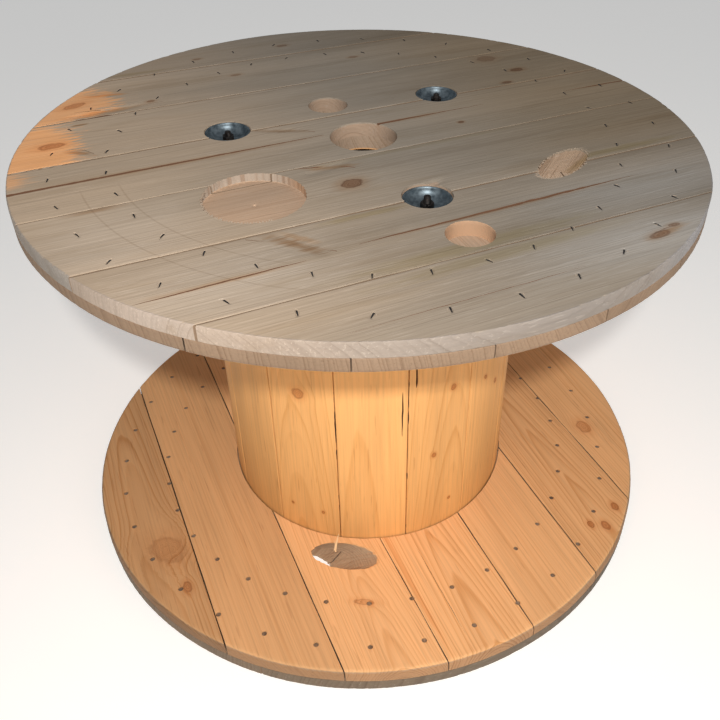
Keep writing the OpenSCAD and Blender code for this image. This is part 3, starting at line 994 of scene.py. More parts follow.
# %% Cut a split along the grain
def split(name, line, layer, deep, seed):
    """line: (x, y, width) stations in millimetres in the layer's own frame."""
    fine = []
    for (x0, y0, w0), (x1, y1, w1) in zip(line, line[1:]):
        count = max(1, round(math.hypot(x1 - x0, y1 - y0) / 5))
        for i in range(count):
            t = i / count
            fine.append((x0 + (x1 - x0) * t, y0 + (y1 - y0) * t, w0 + (w1 - w0) * t))
    fine.append(line[-1])
    points, faces = [], []
    for x, y, w in fine:
        stray = 0.7 * noise.noise(Vector((x * 0.05, seed, 1.0)))
        stray += 0.3 * noise.noise(Vector((x * 0.3, seed, 5.0)))
        w = w * (1 + 0.45 * noise.noise(Vector((x * 0.11, seed, 3.0))))
        y += stray
        points += [(x * MM, (y - w / 2) * MM, 0.0015), (x * MM, (y + w / 2) * MM, 0.0015),
                   (x * MM, (y + w / 2) * MM, -0.0004),
                   (x * MM, (y + 0.12 * w) * MM, -deep * MM * min(1, 0.35 + w / 3)),
                   (x * MM, (y - w / 2) * MM, -0.0004)]
    last = len(fine) - 1
    for s in range(last):
        a, c = 5 * s, 5 * (s + 1)
        faces += [(a + k, c + k, c + (k + 1) % 5, a + (k + 1) % 5) for k in range(5)]
    faces += [(0, 1, 2, 3, 4), tuple(5 * last + k for k in range(5))[::-1]]
    return tool(solid(name, points, faces, tool_finishes, layer, [CRACK] * len(faces)))


top = layers["top_outer"]
top_splits = [
    split("split_bore_left", [(-404, 19, 5.6), (-330, 20, 4.6), (-230, 21, 4.4), (-150, 22, 3.4),
                              (-90, 22.5, 2.2), (-42, 23, 1.0)],
          top, 3.2, 1.0),
    split("split_bore_right", [(30, 25, 5.2), (55, 25, 4.8), (80, 25.5, 3.4), (112, 25.5, 1.8),
                               (180, 25, 0.6)],
          top, 3.2, 2.0),
    split("split_far_end", [(300, 20, 0.5), (350, 19, 2.0), (404, 18, 3.0)],
          top, 4, 3.0),
    split("split_near_left", [(-322, -233.5, 0.6), (-290, -233, 2.2), (-230, -231, 2.8), (-190, -230, 2.4),
                              (-160, -229, 0.6)],
          top, 2.6, 4.0),
    split("split_near_right", [(-104, -223, 0.6), (-60, -222, 2.6), (20, -221, 3.6), (90, -219.5, 4.6),
                               (150, -218.5, 3.8), (190, -218, 1.8), (235, -217, 0.5)],
          top, 3.2, 5.0),
    split("split_front", [(-170, -349, 0.4), (-80, -348, 1.0), (20, -348, 0.9), (70, -347, 0.3)],
          top, 2, 6.0),
    split("gap_back_left", [(-320, 188, 0.8), (-285, 188.4, 2.6), (-240, 188.2, 2.2), (-215, 188, 0.5)],
          top, 7, 7.0),
    split("wane_left", [(-200, -170, 1.6), (-176, -186, 1.2), (-150, -208, 1.2), (-128, -226, 2.2)],
          top, 1.6, 11.0),
    split("wane_right", [(-166, -170, 0.6), (-148, -190, 0.9), (-134, -210, 0.8), (-124, -226, 1.4)],
          top, 1.2, 12.0),
    split("torn_left_of_bore", [(-112, 66, 1.4), (-92, 62, 1.0), (-72, 54, 1.4), (-48, 36, 1.8)],
          top, 1.4, 13.0),
    split("torn_below_bore", [(-104, -49, 0.8), (-84, -54, 2.0), (-62, -58, 1.6), (-42, -72, 1.8)],
          top, 1.4, 14.0),
    split("torn_below_bore_two", [(-92, -62, 0.5), (-74, -63, 1.2), (-52, -66, 0.6)],
          top, 1.0, 15.0),
    split("corner_edge", [(-322, 106, 1.0), (-306, 98, 1.8), (-298, 84, 1.2)],
          top, 1.6, 16.0),
    split("corner_edge_back", [(-300, 214, 0.8), (-262, 208, 2.4), (-226, 204, 1.8), (-190, 205, 0.5)],
          top, 1.6, 17.0),
    split("front_right_tear", [(160, -330, 0.5), (182, -324, 1.6), (200, -322, 0.6)],
          top, 1.0, 18.0),
]
bottom = layers["bottom_inner"]
bottom_splits = [
    split("split_streak", [(-384, 29, 0.3), (-330, 28, 1.0), (-270, 27, 1.2), (-204, 26, 0.3)],
          bottom, 1.2, 8.0),
    split("split_streak_two", [(-372, 34, 0.3), (-320, 33, 0.7), (-262, 32, 0.3)],
          bottom, 0.9, 9.0),
]
print("splits", len(top_splits) + len(bottom_splits))

# %% A height for each board's face
def torn_dip(x, y, dip):
    """How far a torn place lowers the face. dip: x, y, half long, half wide, turn, depth, crispness."""
    cx, cy, long, wide, turn, depth, crisp = dip
    c, s = math.cos(math.radians(turn)), math.sin(math.radians(turn))
    dx, dy = x / MM - cx, y / MM - cy
    u, v = (dx * c + dy * s) / long, (-dx * s + dy * c) / wide
    d = math.sqrt(u * u + v * v) + 0.22 * noise.noise(Vector((x * 70, y * 160, cx)))
    return depth * MM * max(0.0, min(1.0, (1.0 - d) * crisp))


BOWED, WAVY = 0.25, 0.25


def board_height(seed, middle, level, dips):
    """Everything in millimetres, below the layer's face."""
    def height(x, y):
        h = -level - 0.04
        h -= BOWED * (1 - ((y / MM - middle) / 60) ** 2)
        h -= WAVY * (0.5 + 0.5 * noise.noise(Vector((x * 5, y * 16, seed))))
        h -= 0.12 * (0.5 + 0.5 * noise.noise(Vector((x * 30, y * 240, seed + 4))))
        h *= MM
        for dip in dips:
            h -= torn_dip(x, y, dip)
        return min(h, -0.00003)
    return height


print("heights ready")

# %% [markdown]
# ## The top flange's outer boards
# These are the boards that are seen first. They have lain outdoors, so their faces are grey, with
# grain, knots and stains showing through. The corner at the left carries painted warm light, an orange
# cast, and the near boards carry patches of painted sheen.
# Each line of the table is one board: where its pith lay, how its rings run, and what marks it.

# %% Saw the seven weathered boards
def stain_of(cx, cy, long, wide, turn=0, soft=0.5, torn=0.8, colour=(0.7, 0.5, 0.35), amount=0.8):
    return (cx, cy, long, wide, turn, soft, torn, colour, amount)


OLIVE, BROWN, RUST = (0.84, 0.80, 0.62), (0.66, 0.50, 0.36), (0.86, 0.64, 0.44)
# painted sheen: lightens and cools a patch, standing in for the lamp's sheen on the near boards
PAINTED_SHEEN = (1.22, 1.34, 1.52)
top_outer_table = {
    1: dict(seed=1.0, pith=(0, -240, -60), tilt=0.010, level=0.25, tone=0.86, gap=0.0006,
            knots=[(172, -331, 5, 2.4, 8, 0.5), (196, -322, 3, 2.0, 0, 0.6)],
            stains=[stain_of(180, -330, 34, 6, 8, 0.8, 1.2, RUST, 0.7),
                    stain_of(20, -296, 170, 12, 1, 0.8, 0.9, OLIVE, 0.7),
                    stain_of(190, -330, 230, 60, 0, 0.9, 0.4, PAINTED_SHEEN, 1.0)]),
    2: dict(seed=2.3, pith=(0, -330, -30), tilt=0.012, level=0.45, tone=0.86, gap=0.0006,
            dips=[(-160, -198, 40, 15, -52, 0.7, 4.0)],
            stains=[stain_of(-158, -198, 44, 10, -52, 0.9, 1.9, BROWN, 0.95),
                    stain_of(-152, -188, 30, 6, -50, 0.7, 1.2, RUST, 0.6),
                    stain_of(-75, -174, 66, 7, 0, 0.7, 0.9, OLIVE, 0.8),
                    stain_of(0, -272, 170, 15, 1, 0.8, 0.9, OLIVE, 0.85),
                    stain_of(60, -221, 170, 5, 1, 0.9, 0.8, RUST, 0.6),
                    stain_of(-240, -231, 90, 5, 0, 0.9, 0.8, RUST, 0.6),
                    stain_of(240, -240, 210, 60, 0, 0.95, 0.4, PAINTED_SHEEN, 0.7),
                    stain_of(-230, -230, 170, 80, 0, 0.95, 0.4, PAINTED_SHEEN, 0.5)]),
    3: dict(seed=3.7, pith=(0, -20, -90), tilt=0.008, level=0.10, tone=0.95, gap=0.0002,
            knots=[(-61, -106, 8.5, 1.35, 8, 0.75)],
            dips=[(-70, -60, 34, 8, 12, 0.8, 3.0), (14, -145, 20, 7, 20, 2.2, 2.5)],
            stains=[stain_of(-68, -60, 38, 7, -12, 0.8, 1.4, RUST, 0.8),
                    stain_of(250, -156, 120, 9, 0, 0.8, 0.9, OLIVE, 0.9),
                    stain_of(-320, -52, 40, 6, 0, 0.9, 0.9, BROWN, 0.7),
                    stain_of(60, -52, 200, 6, 0, 0.9, 0.9, OLIVE, 0.5),
                    stain_of(-310, -120, 120, 90, 0, 0.95, 0.4, PAINTED_SHEEN, 0.4)]),
    4: dict(seed=5.1, pith=(0, 90, -60), tilt=0.010, level=0.30, gap=0.0007,
            knots=[(126, -12, 2.6, 1.3, 0, 0.9)],
            dips=[(-86, 57, 34, 6, -22, 0.6, 3.0)],
            stains=[stain_of(-82, 54, 40, 6, -24, 0.8, 1.3, BROWN, 0.7),
                    stain_of(-220, 21, 190, 6, 0, 0.9, 0.8, RUST, 0.6),
                    stain_of(80, 25, 60, 6, 0, 0.9, 0.8, RUST, 0.6),
                    stain_of(350, 19, 50, 4, 0, 0.9, 0.8, RUST, 0.5)],
            bare=[(-402, 50, 36, 24, 0, 0.7, 1.2, 0.7)]),
    5: dict(seed=6.4, pith=(0, 160, -40), tilt=-0.014, level=0.15, tone=1.04,
            knots=[(-339, 124, 7, 2.0, 5, 0.55), (287, 114, 5, 1.7, 0, 0.8), (269, 170, 10, 1.3, 0, 0.2),
                   (248, 78, 3.5, 1.8, 0, 0.6)],
            stains=[stain_of(-312, 92, 24, 6, -35, 0.8, 1.4, BROWN, 0.8),
                    stain_of(-300, 172, 12, 3, 0, 0.6, 0.9, BROWN, 0.9)],
            bare=[(-386, 118, 82, 84, -12, 0.25, 1.1, 1.0)]),
    6: dict(seed=7.9, pith=(0, 150, -50), tilt=0.012, level=0.35, tone=1.08,
            knots=[(-205, 212, 3, 1.6, 0, 0.6), (-78, 257, 3, 2.2, 0, 0.35), (98, 257, 3, 2.2, 0, 0.35),
                   (-296, 236, 6, 2.2, 20, 0.4)],
            dips=[(-262, 202, 55, 9, 4, 1.3, 2.5)],
            stains=[stain_of(-255, 256, 34, 5, -10, 0.7, 1.2, RUST, 0.8),
                    stain_of(-265, 203, 60, 7, 3, 0.8, 1.2, RUST, 0.8)],
            bare=[(-322, 232, 88, 52, 14, 0.3, 1.2, 0.9)]),
    7: dict(seed=9.2, pith=(0, 420, -50), tilt=0.010, level=0.20, tone=0.98,
            knots=[(20, 345, 4, 1.8, 0, 0.3), (-110, 340, 3, 1.8, 0, 0.3)],
            stains=[stain_of(-200, 318, 60, 8, 0, 0.8, 0.9, OLIVE, 0.6)]),
}
top_takes = [bore_cut, near_cut, far_cut, recess_cut, top_cable_cut, bruise_cuts["top"], *top_splits,
             *[c for c in seat_cuts if "top" in c.name]]
made = []


def build_board(node, layer_name, row, face, rim, cut, takes, stride, weather=0.0, gap=SEAM_GAP):
    layer = layers[layer_name]
    low, high = measured(node, layer)
    middle = (max(low.y, -drum_radius) + min(high.y, drum_radius)) / 2 / MM
    get = row.get
    finish = pine("pine_" + node, row["seed"], row["pith"], face, rim, cut, layer, ring=get("ring", 3.6),
                  tilt=get("tilt", 0.01), warp=get("warp", 12.0), depth0=get("level", 0.2) + 0.35,
                  tone=get("tone", 1.0), contrast=get("contrast", 0.45 if weather == OUTDOORS else 0.8),
                  knots=get("knots", ()), stains=get("stains", ()), bare=get("bare", ()), weather=weather,
                  knot_tone=get("knot_tone", KNOT_BROWN))
    height = board_height(row["seed"], middle, get("level", 0.2), get("dips", ()))
    piece = sawn_board("sawn_" + node, low, high, height, [finish, crack_finish, scorch_finish, seam_shade_finish],
                       layer, stride, get("gap", gap))
    work(piece, [rims[layer_name]], takes)
    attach(piece, "root")
    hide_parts(node)
    made.append(piece)
    return piece


for number, row in top_outer_table.items():
    rim_tone = PALE_RIM if number < 3 else GREY_RIM
    build_board("top_outer_board_%d" % number, "top_outer", row, GREY_FACE, rim_tone, TOP_CUT, top_takes,
                FINEST, weather=OUTDOORS, gap=CAD_GAP)
print("top outer boards:", sum(len(p.data.polygons) for p in made), "faces")

# %% [markdown]
# ## The top flange's inner boards
# They cross the outer ones and look down at the cable. Only their rounded rim, their underside and
# the floors of a few holes show, so they are sawn more coarsely.

# %% Saw the inner boards of the top flange
inner_takes = [bore_cut, far_cut, top_cable_cut, dimple_cuts["top"], groove_cuts["top_inner"],
               *[c for c in seat_cuts if "top" in c.name]]
for number in range(1, 8):
    row = dict(seed=20.0 + number * 1.7, pith=(0, -300 + 100 * number + 55 * math.sin(number * 2.1), -70),
               tilt=0.015 * math.sin(number * 1.3), level=0.2 + 0.15 * math.sin(number * 2.7))
    build_board("top_inner_board_%d" % number, "top_inner", row, WARM_FACE, TAN_RIM, GREY_CUT,
                inner_takes, COARSE)
print("top inner boards done,", len(made), "boards so far")

# %% [markdown]
# ## The bottom flange
# Its cable side was kept dry under the winding, so it is still the colour of new pine, with flames,
# feathered grain, knots and two rings of nail heads. The layer below it only shows at the rim and
# from underneath.

# %% Saw the bottom flange's boards
bottom_table = {
    1: dict(seed=31.0, pith=(0, -380, -50), tilt=0.012, knots=[(-122, -316, 9, 1.4, 0, 0.35)]),
    2: dict(seed=32.5, pith=(-60, -232, -36), tilt=0.034, ring=3.8, contrast=1.0, tone=0.95,
            knots=[(-290, -212, 4, 1.4, 0, 0.7), (-300, -230, 5, 1.5, 0, 0.8), (-277, -262, 5, 1.3, 0, 0.7)]),
    3: dict(seed=34.1, pith=(0, -20, -90), tilt=0.010, contrast=0.55, tone=1.06),
    4: dict(seed=35.6, pith=(40, 0, -44), tilt=0.040, ring=4.2, contrast=1.0, tone=1.14,
            stains=[stain_of(-250, 58, 160, 4, 0, 0.5, 0.6, (0.80, 0.60, 0.42), 0.6)]),
    5: dict(seed=37.0, pith=(-275, 118, -30), tilt=0.055, ring=3.4, contrast=0.7, warp=16.0, tone=1.12,
            knots=[(-275, 124, 4, 3.0, 60, 0.25)]),
    6: dict(seed=38.4, pith=(0, 330, -60), tilt=0.012, contrast=0.5, tone=0.90),
    7: dict(seed=39.9, pith=(-60, 350, -40), tilt=0.030, contrast=0.9, tone=0.76,
            knots=[(-90, 332, 18, 1.35, 35, 0.12), (-160, 322, 5, 1.6, 0, 0.7)], knot_tone=KNOT_FAINT),
}
bottom_takes = [bore_cut, bottom_cable_cut, dimple_cuts["bottom"], groove_cuts["bottom_inner"],
                *bottom_splits,
                *[c for c in seat_cuts if "bottom" in c.name]]
for number, row in bottom_table.items():
    row.setdefault("level", 0.15 + 0.14 * math.sin(number * 2.2))
    row.setdefault("gap", {6: 0.0007, 7: 0.0007, 2: 0.0005, 3: 0.0005}.get(number, 0.0002))
    row.setdefault("knot_tone", KNOT_TAN)
    build_board("bottom_inner_board_%d" % number, "bottom_inner", row, WARM_FACE, WARM_RIM, SHADED_CUT,
                bottom_takes, FINE)
under_takes = [bore_cut, bottom_cable_cut, bruise_cuts["bottom"],
               *[c for c in seat_cuts if "bottom" in c.name]]
for number in range(1, 8):
    row = dict(seed=50.0 + number * 1.9, pith=(0, -400 + 110 * number + 60 * math.cos(number), -80),
               tilt=0.014 * math.cos(number * 1.9), level=0.1 + 0.1 * math.sin(number))
    build_board("bottom_outer_board_%d" % number, "bottom_outer", row, UNDER_FACE, DULL_RIM, SHADED_CUT,
                under_takes, COARSE, weather=SHELTERED)
print("flange boards:", len(made), "with", sum(len(p.data.polygons) for p in made), "faces")

# %% [markdown]
# ## The barrel
# Fourteen staves stand in the ring grooves, planed round outside. A stave is bent round the drum's axis
# here as it is made: its own x runs up, y goes round the barrel and z points out, so its grain runs up.

# %% Stand the fourteen staves
STAVES = 14
SEAM_DEG = -99.0
stave_low, stave_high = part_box("stave_1")[0].z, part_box("stave_1")[1].z


def barrel_frame(bearing):
    a = math.radians(bearing)
    up, outward = Vector((0, 0, 1)), around(1.0, a)
    return Matrix((up, outward.cross(up), outward)).transposed().to_4x4()


def barrel_split(name, bearing, line, deep, seed):
    """line: (height, sideways, width) in millimetres; the wedge starts at the barrel's face."""
    return split(name, line, barrel_frame(bearing) @ Matrix.Translation((0, 0, BARREL_R)), deep, seed)


barrel_splits = [
    barrel_split("barrel_gap_front", -99.0, [(30, 0, 0.7), (120, 0, 0.8), (200, 0, 1.2), (245, 0, 2.2),
                                             (262, 0, 1.6), (300, 0, 0.6), (420, 0, 0.5), (500, 0, 0.5)],
                 8, 21.0),
    barrel_split("barrel_gap_right", -73.3, [(30, 0, 0.7), (200, 0, 1.0), (300, 0, 1.3), (420, 0, 1.1),
                                             (500, 0, 1.0)], 8, 22.0),
    barrel_split("barrel_check", -75.4, [(222, 0, 0.5), (240, 0, 1.4), (262, 0, 2.2), (280, 0, 1.5),
                                         (294, 0, 0.5)], 6, 23.0),
    barrel_split("barrel_check_top", -70.6, [(298, 0, 0.6), (306, 0, 2.4), (330, 0, 1.6), (420, 0, 0.9),
                                             (490, 0, 0.7)], 6, 24.0),
]
stave_table = {
    1: dict(pith=(0, 12, 130), tilt=0.020, contrast=0.55, tone=1.06),
    2: dict(pith=(200, -16, 150), tilt=0.050, contrast=0.8,
            knots=[(174, 8, 3.0, 1.3, 0, 0.8), (280, -16, 3.4, 1.3, 0, 0.8), (78, -20, 2.0, 1.2, 0, 0.9)]),
    3: dict(pith=(0, 60, 150), tilt=0.012, contrast=0.7,
            knots=[(262, 14, 2.4, 1.5, 30, 0.8), (237, -14, 2.8, 1.6, 30, 0.7)]),
    14: dict(pith=(240, 8, 152), tilt=0.055, contrast=0.75,
             knots=[(283, 2, 7.0, 1.1, 0, 0.55), (78, 24, 2.0, 1.2, 0, 0.9), (78, -22, 2.0, 1.2, 0, 0.8)]),
    13: dict(pith=(0, 40, 140), tilt=0.015, contrast=0.5, tone=0.97),
}


def stave(number):
    row = stave_table.get(number, dict(pith=(200 * math.sin(number), 26 * math.cos(number * 1.7), 145),
                                       tilt=0.035 * math.sin(number * 2.3), contrast=0.65))
    turn = 360 / STAVES
    middle = SEAM_DEG + (number - 0.5) * turn
    half = math.radians(turn / 2) - 0.00020 / BARREL_R
    finish = pine("pine_stave_%d" % number, 70 + number * 2.9, row["pith"], STAVE_FACE, None,
                  layer=barrel_frame(middle), ring=3.8, tilt=row["tilt"], contrast=0.78 * row["contrast"],
                  tone=row.get("tone", 1.0), knots=row.get("knots", ()), knot_tone=KNOT_TAN, rough=0.6)
    level = 0.00018 * (1 + math.sin(number * 2.4))
    columns = steps(-half, half, 0.018, edge=(0.0015, 0.003, 0.006))
    heights = steps(stave_low, stave_high, 0.008)
    points, faces, grid = [], [], {}
    for i, x in enumerate(heights):
        for j, a in enumerate(columns):
            edge = (half - abs(a)) * BARREL_R
            ease = 0.0007 * max(0.0, 1 - edge / 0.0012) ** 2
            wander = noise.noise(Vector((x * 16, number * 3.3 + (a > 0), 1.0)))
            stray = 0.0003 * (1 + wander) * max(0.0, 1 - edge / 0.003)
            wave = 0.0003 * (0.5 + 0.5 * noise.noise(Vector((x * 6, a * 14, number * 2.0))))
            r = BARREL_R - level - ease - wave
            turned_to = a - math.copysign(stray / BARREL_R, a)
            grid[i, j, 0] = len(points)
            points.append((x, r * math.sin(turned_to), r * math.cos(turned_to)))
            grid[i, j, 1] = len(points)
            inner = BARREL_R - STAVE_T
            points.append((x, inner * math.sin(turned_to), inner * math.cos(turned_to)))
    m, n = len(heights) - 1, len(columns) - 1
    for i in range(m):
        for j in range(n):
            for s in (0, 1):
                quad = (grid[i, j, s], grid[i + 1, j, s], grid[i + 1, j + 1, s], grid[i, j + 1, s])
                faces.append(quad if s == 0 else quad[::-1])
        for j in (0, n):
            quad = (grid[i, j, 0], grid[i, j, 1], grid[i + 1, j, 1], grid[i + 1, j, 0])
            faces.append(quad if j == 0 else quad[::-1])
    for i in (0, m):
        for j in range(n):
            quad = (grid[i, j, 0], grid[i, j + 1, 0], grid[i, j + 1, 1], grid[i, j, 1])
            faces.append(quad if i == 0 else quad[::-1])
    piece = solid("planed_stave_%d" % number, points, faces, [finish, crack_finish, scorch_finish],
                  barrel_frame(middle))
    work(piece, (), barrel_splits)
    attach(piece, "root")
    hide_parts("stave_%d" % number)
    return piece


staves = [stave(number) for number in range(1, STAVES + 1)]
print("staves:", len(staves), "with", sum(len(p.data.polygons) for p in staves), "faces")

# %% [markdown]
# ## Steel
# The cups are pressed from blued sheet and still shine inside. The rods and nuts are plain steel, gone
# dark and a little rusty. A grey colour alone looks like paint, so the finish is a real metal with
# cloudy tone and uneven polish.

# %% Mix the steels
def steel(name, dark, light, rough, metallic=1.0, rust=0.0, scale=160.0):
    finish = bpy.data.materials.new(name)
    finish.use_nodes = True
    tree = finish.node_tree
    b = Bench(tree)
    place = b.lay("TexCoord", {}).outputs["Object"]
    cloud = b.grain_noise(place, (scale, scale, scale), 4.0, 0.6)
    fine = b.grain_noise(place, (1400.0, 1400.0, 1400.0), 2.0)
    colour = b.tint(b.ease(cloud, 0.3, 0.7), wet(dark), wet(light))
    if rust:
        spots = b.ease(b.grain_noise(place, (420.0, 420.0, 420.0), 3.0, 0.7), 0.5, 0.68)
        colour = b.tint(b.sum("MULTIPLY", spots, rust), colour, wet((0.16, 0.065, 0.03)))
    shader = tree.nodes["Principled BSDF"]
    tree.links.new(colour, shader.inputs["Base Color"])
    tree.links.new(b.ease(cloud, 0.2, 0.8, rough - 0.08, rough + 0.12), shader.inputs["Roughness"])
    shader.inputs["Metallic"].default_value = metallic
    bump = b.lay("Bump", {"Height": fine, "Strength": 0.2, "Distance": 0.0002})
    tree.links.new(bump.outputs[0], shader.inputs["Normal"])
    return finish


cup_steel = steel("blued_steel", (0.085, 0.112, 0.132), (0.20, 0.245, 0.275), 0.44, 0.8)
head_steel = steel("dull_heads", (0.15, 0.115, 0.085), (0.36, 0.29, 0.22), 0.45, 0.5)
rod_steel = steel("dark_steel", (0.018, 0.017, 0.017), (0.060, 0.055, 0.052), 0.5, 0.9, 0.25)
nail_steel = steel("nail_steel", (0.030, 0.029, 0.030), (0.110, 0.108, 0.110), 0.5, 0.8, 0.3, 500.0)
print("steels mixed")

# %% [markdown]
# ## Cup washers, nuts and rods
# Under each nut sits a deep domed cup. Its wall has an even thickness and a rolled lip, so it is swept
# as one closed profile. The nut is swept too: its radius simply follows a hexagon, with the corners
# turned off. The rod's thread is a real ridge that climbs as it goes round.

# %% Press the cup washers
def finished(piece, nodes):
    piece.data.polygons.foreach_set("use_smooth", [True] * len(piece.data.polygons))
    piece.data.set_sharp_from_angle(angle=math.radians(35))
    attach(piece, "root")
    if nodes:
        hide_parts(nodes)
    return piece


CUP_HOLE_R = 0.0045
cup_loop, bends = [], 14
for k in range(bends + 1):
    a = math.pi / 2 * k / bends
    cup_loop.append((CUP_FLAT / 2 + (CUP_D - CUP_FLAT) / 2 * math.cos(a), -CUP_DEPTH * math.sin(a)))
cup_loop += [(CUP_HOLE_R, -CUP_DEPTH), (CUP_HOLE_R, -CUP_DEPTH + CUP_WALL)]
for k in range(bends, -1, -1):
    a = math.pi / 2 * k / bends
    cup_loop.append((CUP_FLAT / 2 + (CUP_D - CUP_FLAT) / 2 * math.cos(a) - CUP_WALL * math.cos(a),
                     -(CUP_DEPTH - CUP_WALL) * math.sin(a)))
lip = CUP_D / 2 - CUP_WALL / 2
cup_loop = [(lip + 0.00095, -0.0007), *cup_loop[1:-1], (lip - 0.00095, -0.0007), (lip - 0.0004, -0.0001),
            (lip + 0.0004, -0.0001)]
cup_shape = hoop(cup_loop, 96)
OUTER_FACES = (("top", drum_height, True), ("bottom", 0.0, False))
for end, face_z, up in OUTER_FACES:
    way = 1 if up else -1
    sits = [Matrix.Translation(spot + Vector((0, 0, face_z - way * CUP_SINK[k]))) @ facing(up)
            for k, spot in enumerate(rod_at)]
    cups = solid("pressed_cups_" + end, *copies(cup_shape, sits), [cup_steel])
    finished(cups, end + "_cup_washers")
print("cups pressed:", len(OUTER_FACES) * len(rod_at))

# %% Forge the nuts
NUT_AF, NUT_H, ROD_R = 0.013, 0.0065, 0.004


def hexagon(a):
    return NUT_AF / 2 / math.cos((a % (math.pi / 3)) - math.pi / 6)


def nut_wall(a, k, r, z):
    """Bends the round profile to a hexagon and turns its corners off."""
    far_out, chamfer = hexagon(a), NUT_AF / 2 * 1.01
    crop = max(0.0, far_out - chamfer) * 0.62
    if k in (1, 4):
        return min(far_out, chamfer), z
    if k in (2, 3):
        return far_out, z + (crop if k == 2 else -crop)
    return r, z


nut_loop = [(ROD_R - 0.0002, 0.0), (NUT_AF / 2, 0.0), (NUT_AF / 2, 0.0001), (NUT_AF / 2, NUT_H - 0.0001),
            (NUT_AF / 2, NUT_H), (ROD_R + 0.0004, NUT_H), (ROD_R - 0.0002, NUT_H - 0.0006)]
nut_shape = hoop(nut_loop, 72, nut_wall)
for end, face_z, up in OUTER_FACES:
    way = 1 if up else -1
    sits = [Matrix.Translation(spot + Vector((0, 0, face_z - way * (CUP_SINK[k] + CUP_DEPTH - CUP_WALL))))
            @ facing(up) @ Matrix.Rotation(0.5 + 1.3 * k, 4, "Z") for k, spot in enumerate(rod_at)]
    finished(solid("hex_nuts_" + end, *copies(nut_shape, sits), [rod_steel]), end + "_nuts")
print("nuts:", len(OUTER_FACES) * len(rod_at))

# %% Thread the rods
PITCH, THREAD_RUN, ROUND = 0.00125, 0.026, 22


def rod_mesh(length):
    threads = []
    z = 0.0
    while z < THREAD_RUN:
        threads.append(z)
        z += PITCH / 5
    plain = [THREAD_RUN + (length - 2 * THREAD_RUN) * k / 6 for k in range(7)]
    stops = threads + plain + [length - m for m in threads[::-1]]
    points = [Vector((0, 0, 0.0))]
    for z in stops:
        threaded = z < THREAD_RUN - 1e-6 or z > length - THREAD_RUN + 1e-6
        from_end = min(z, length - z)
        for t in range(ROUND):
            a = 2 * math.pi * t / ROUND
            r = ROD_R
            if threaded:
                ridge = abs(((z / PITCH - t / ROUND) % 1.0) - 0.5) * 2
                r -= 0.0006 * (1 - ridge)
            r -= max(0.0, 0.0008 - from_end)
            points.append(around(r, a, z))
    points.append(Vector((0, 0, length)))
    return points, skin(len(stops), ROUND)


for k, (lo, hi) in enumerate(rods):
    sit = [Matrix.Translation(rod_at[k] + Vector((0, 0, lo.z)))]
    finished(solid("threaded_rod_%d" % (k + 1), *copies(rod_mesh(hi.z - lo.z), sit), [rod_steel]),
             "tie_rod_%d" % (k + 1))
print("rods threaded:", len(rods))

# %% [markdown]
# ## The nails themselves
# A head is a thin disc, dished a little by the hammer. A bent point is a tapering half-round bar that
# comes up out of the wood, turns over and dives back in at its tip.

# %% Drive the nails
def nail_head():
    turns = 14
    loop = [(0.0, -0.0012), (0.0029, -0.0012), (0.0030, -0.0004), (0.0026, 0.0), (0.0012, -0.00012),
            (0.0, -0.00015)]
    points = [Vector((0, 0, loop[0][1]))]
    for r, z in loop[1:-1]:
        points += [around(r, 2 * math.pi * t / turns, z) for t in range(turns)]
    points.append(Vector((0, 0, loop[-1][1])))
    return points, skin(len(loop) - 2, turns)


def bent_point(seed):
    """stations: how far along, how high, and how thick beside the full bar."""
    stations = [(-0.0014, -0.0034, 0.9), (-0.0012, -0.0022, 1.0), (-0.0004, -0.0013, 1.05),
                (0.0010, -0.0010, 1.0), (0.0040, -0.0009, 0.86), (0.0070, -0.0010, 0.62),
                (0.0088, -0.0014, 0.30), (0.0092, -0.0022, 0.12)]
    points, faces, turns = [], [], 8
    slim = 0.50 + 0.45 * ragged(seed, 4.0, 3.0)
    for s, (x, z, size) in enumerate(stations):
        size *= slim
        x *= 0.75 + 0.25 * slim
        sway = 0.0004 * math.sin(seed * 3 + s * 0.7) * s / 7
        for t in range(turns):
            a = 2 * math.pi * t / turns
            y, h = 0.00135 * size * math.cos(a), 0.0009 * size * math.sin(a)
            if s < 2:
                points.append(Vector((x + h * 1.3 + 0.0011, y + sway, z)))
            else:
                points.append(Vector((x, y + sway, z + h)))
    last = len(stations) - 1
    for s in range(last):
        for t in range(turns):
            n = (t + 1) % turns
            a, c = s * turns, (s + 1) * turns
            faces.append((a + t, a + n, c + n, c + t))
    faces += [tuple(range(turns))[::-1], tuple(last * turns + t for t in range(turns))]
    return points, faces


for end, (head_z, head_up, point_z, point_up) in nail_faces.items():
    way = 1 if head_up else -1
    heads = [copies(nail_head(), [stand(spot, angle, head_z - way * HEAD_SINK, head_up)])
             for spot, angle in nail_sets[end]]
    points = [copies(bent_point(k), [stand(spot, angle, point_z, point_up)])
              for k, (spot, angle) in enumerate(nail_sets[end])]
    head_faces, point_faces = (sum(len(f) for _, f in group) for group in (heads, points))
    marks = [0] * head_faces + [1] * point_faces
    finished(solid("driven_nails_" + end, *gathered(heads + points), [head_steel, nail_steel], None, marks),
             end + "_nails")
print("nails driven:", sum(len(v) for v in nail_sets.values()))

# %% [markdown]
# ## Splinters and torn fibres
# Where a drill or a milling cutter leaves a board it lifts small slivers. They are paler than the
# face round them and catch the light, so they show although they are only a few millimetres long.
# Each is a thin tapering blade, rooted in the wood.

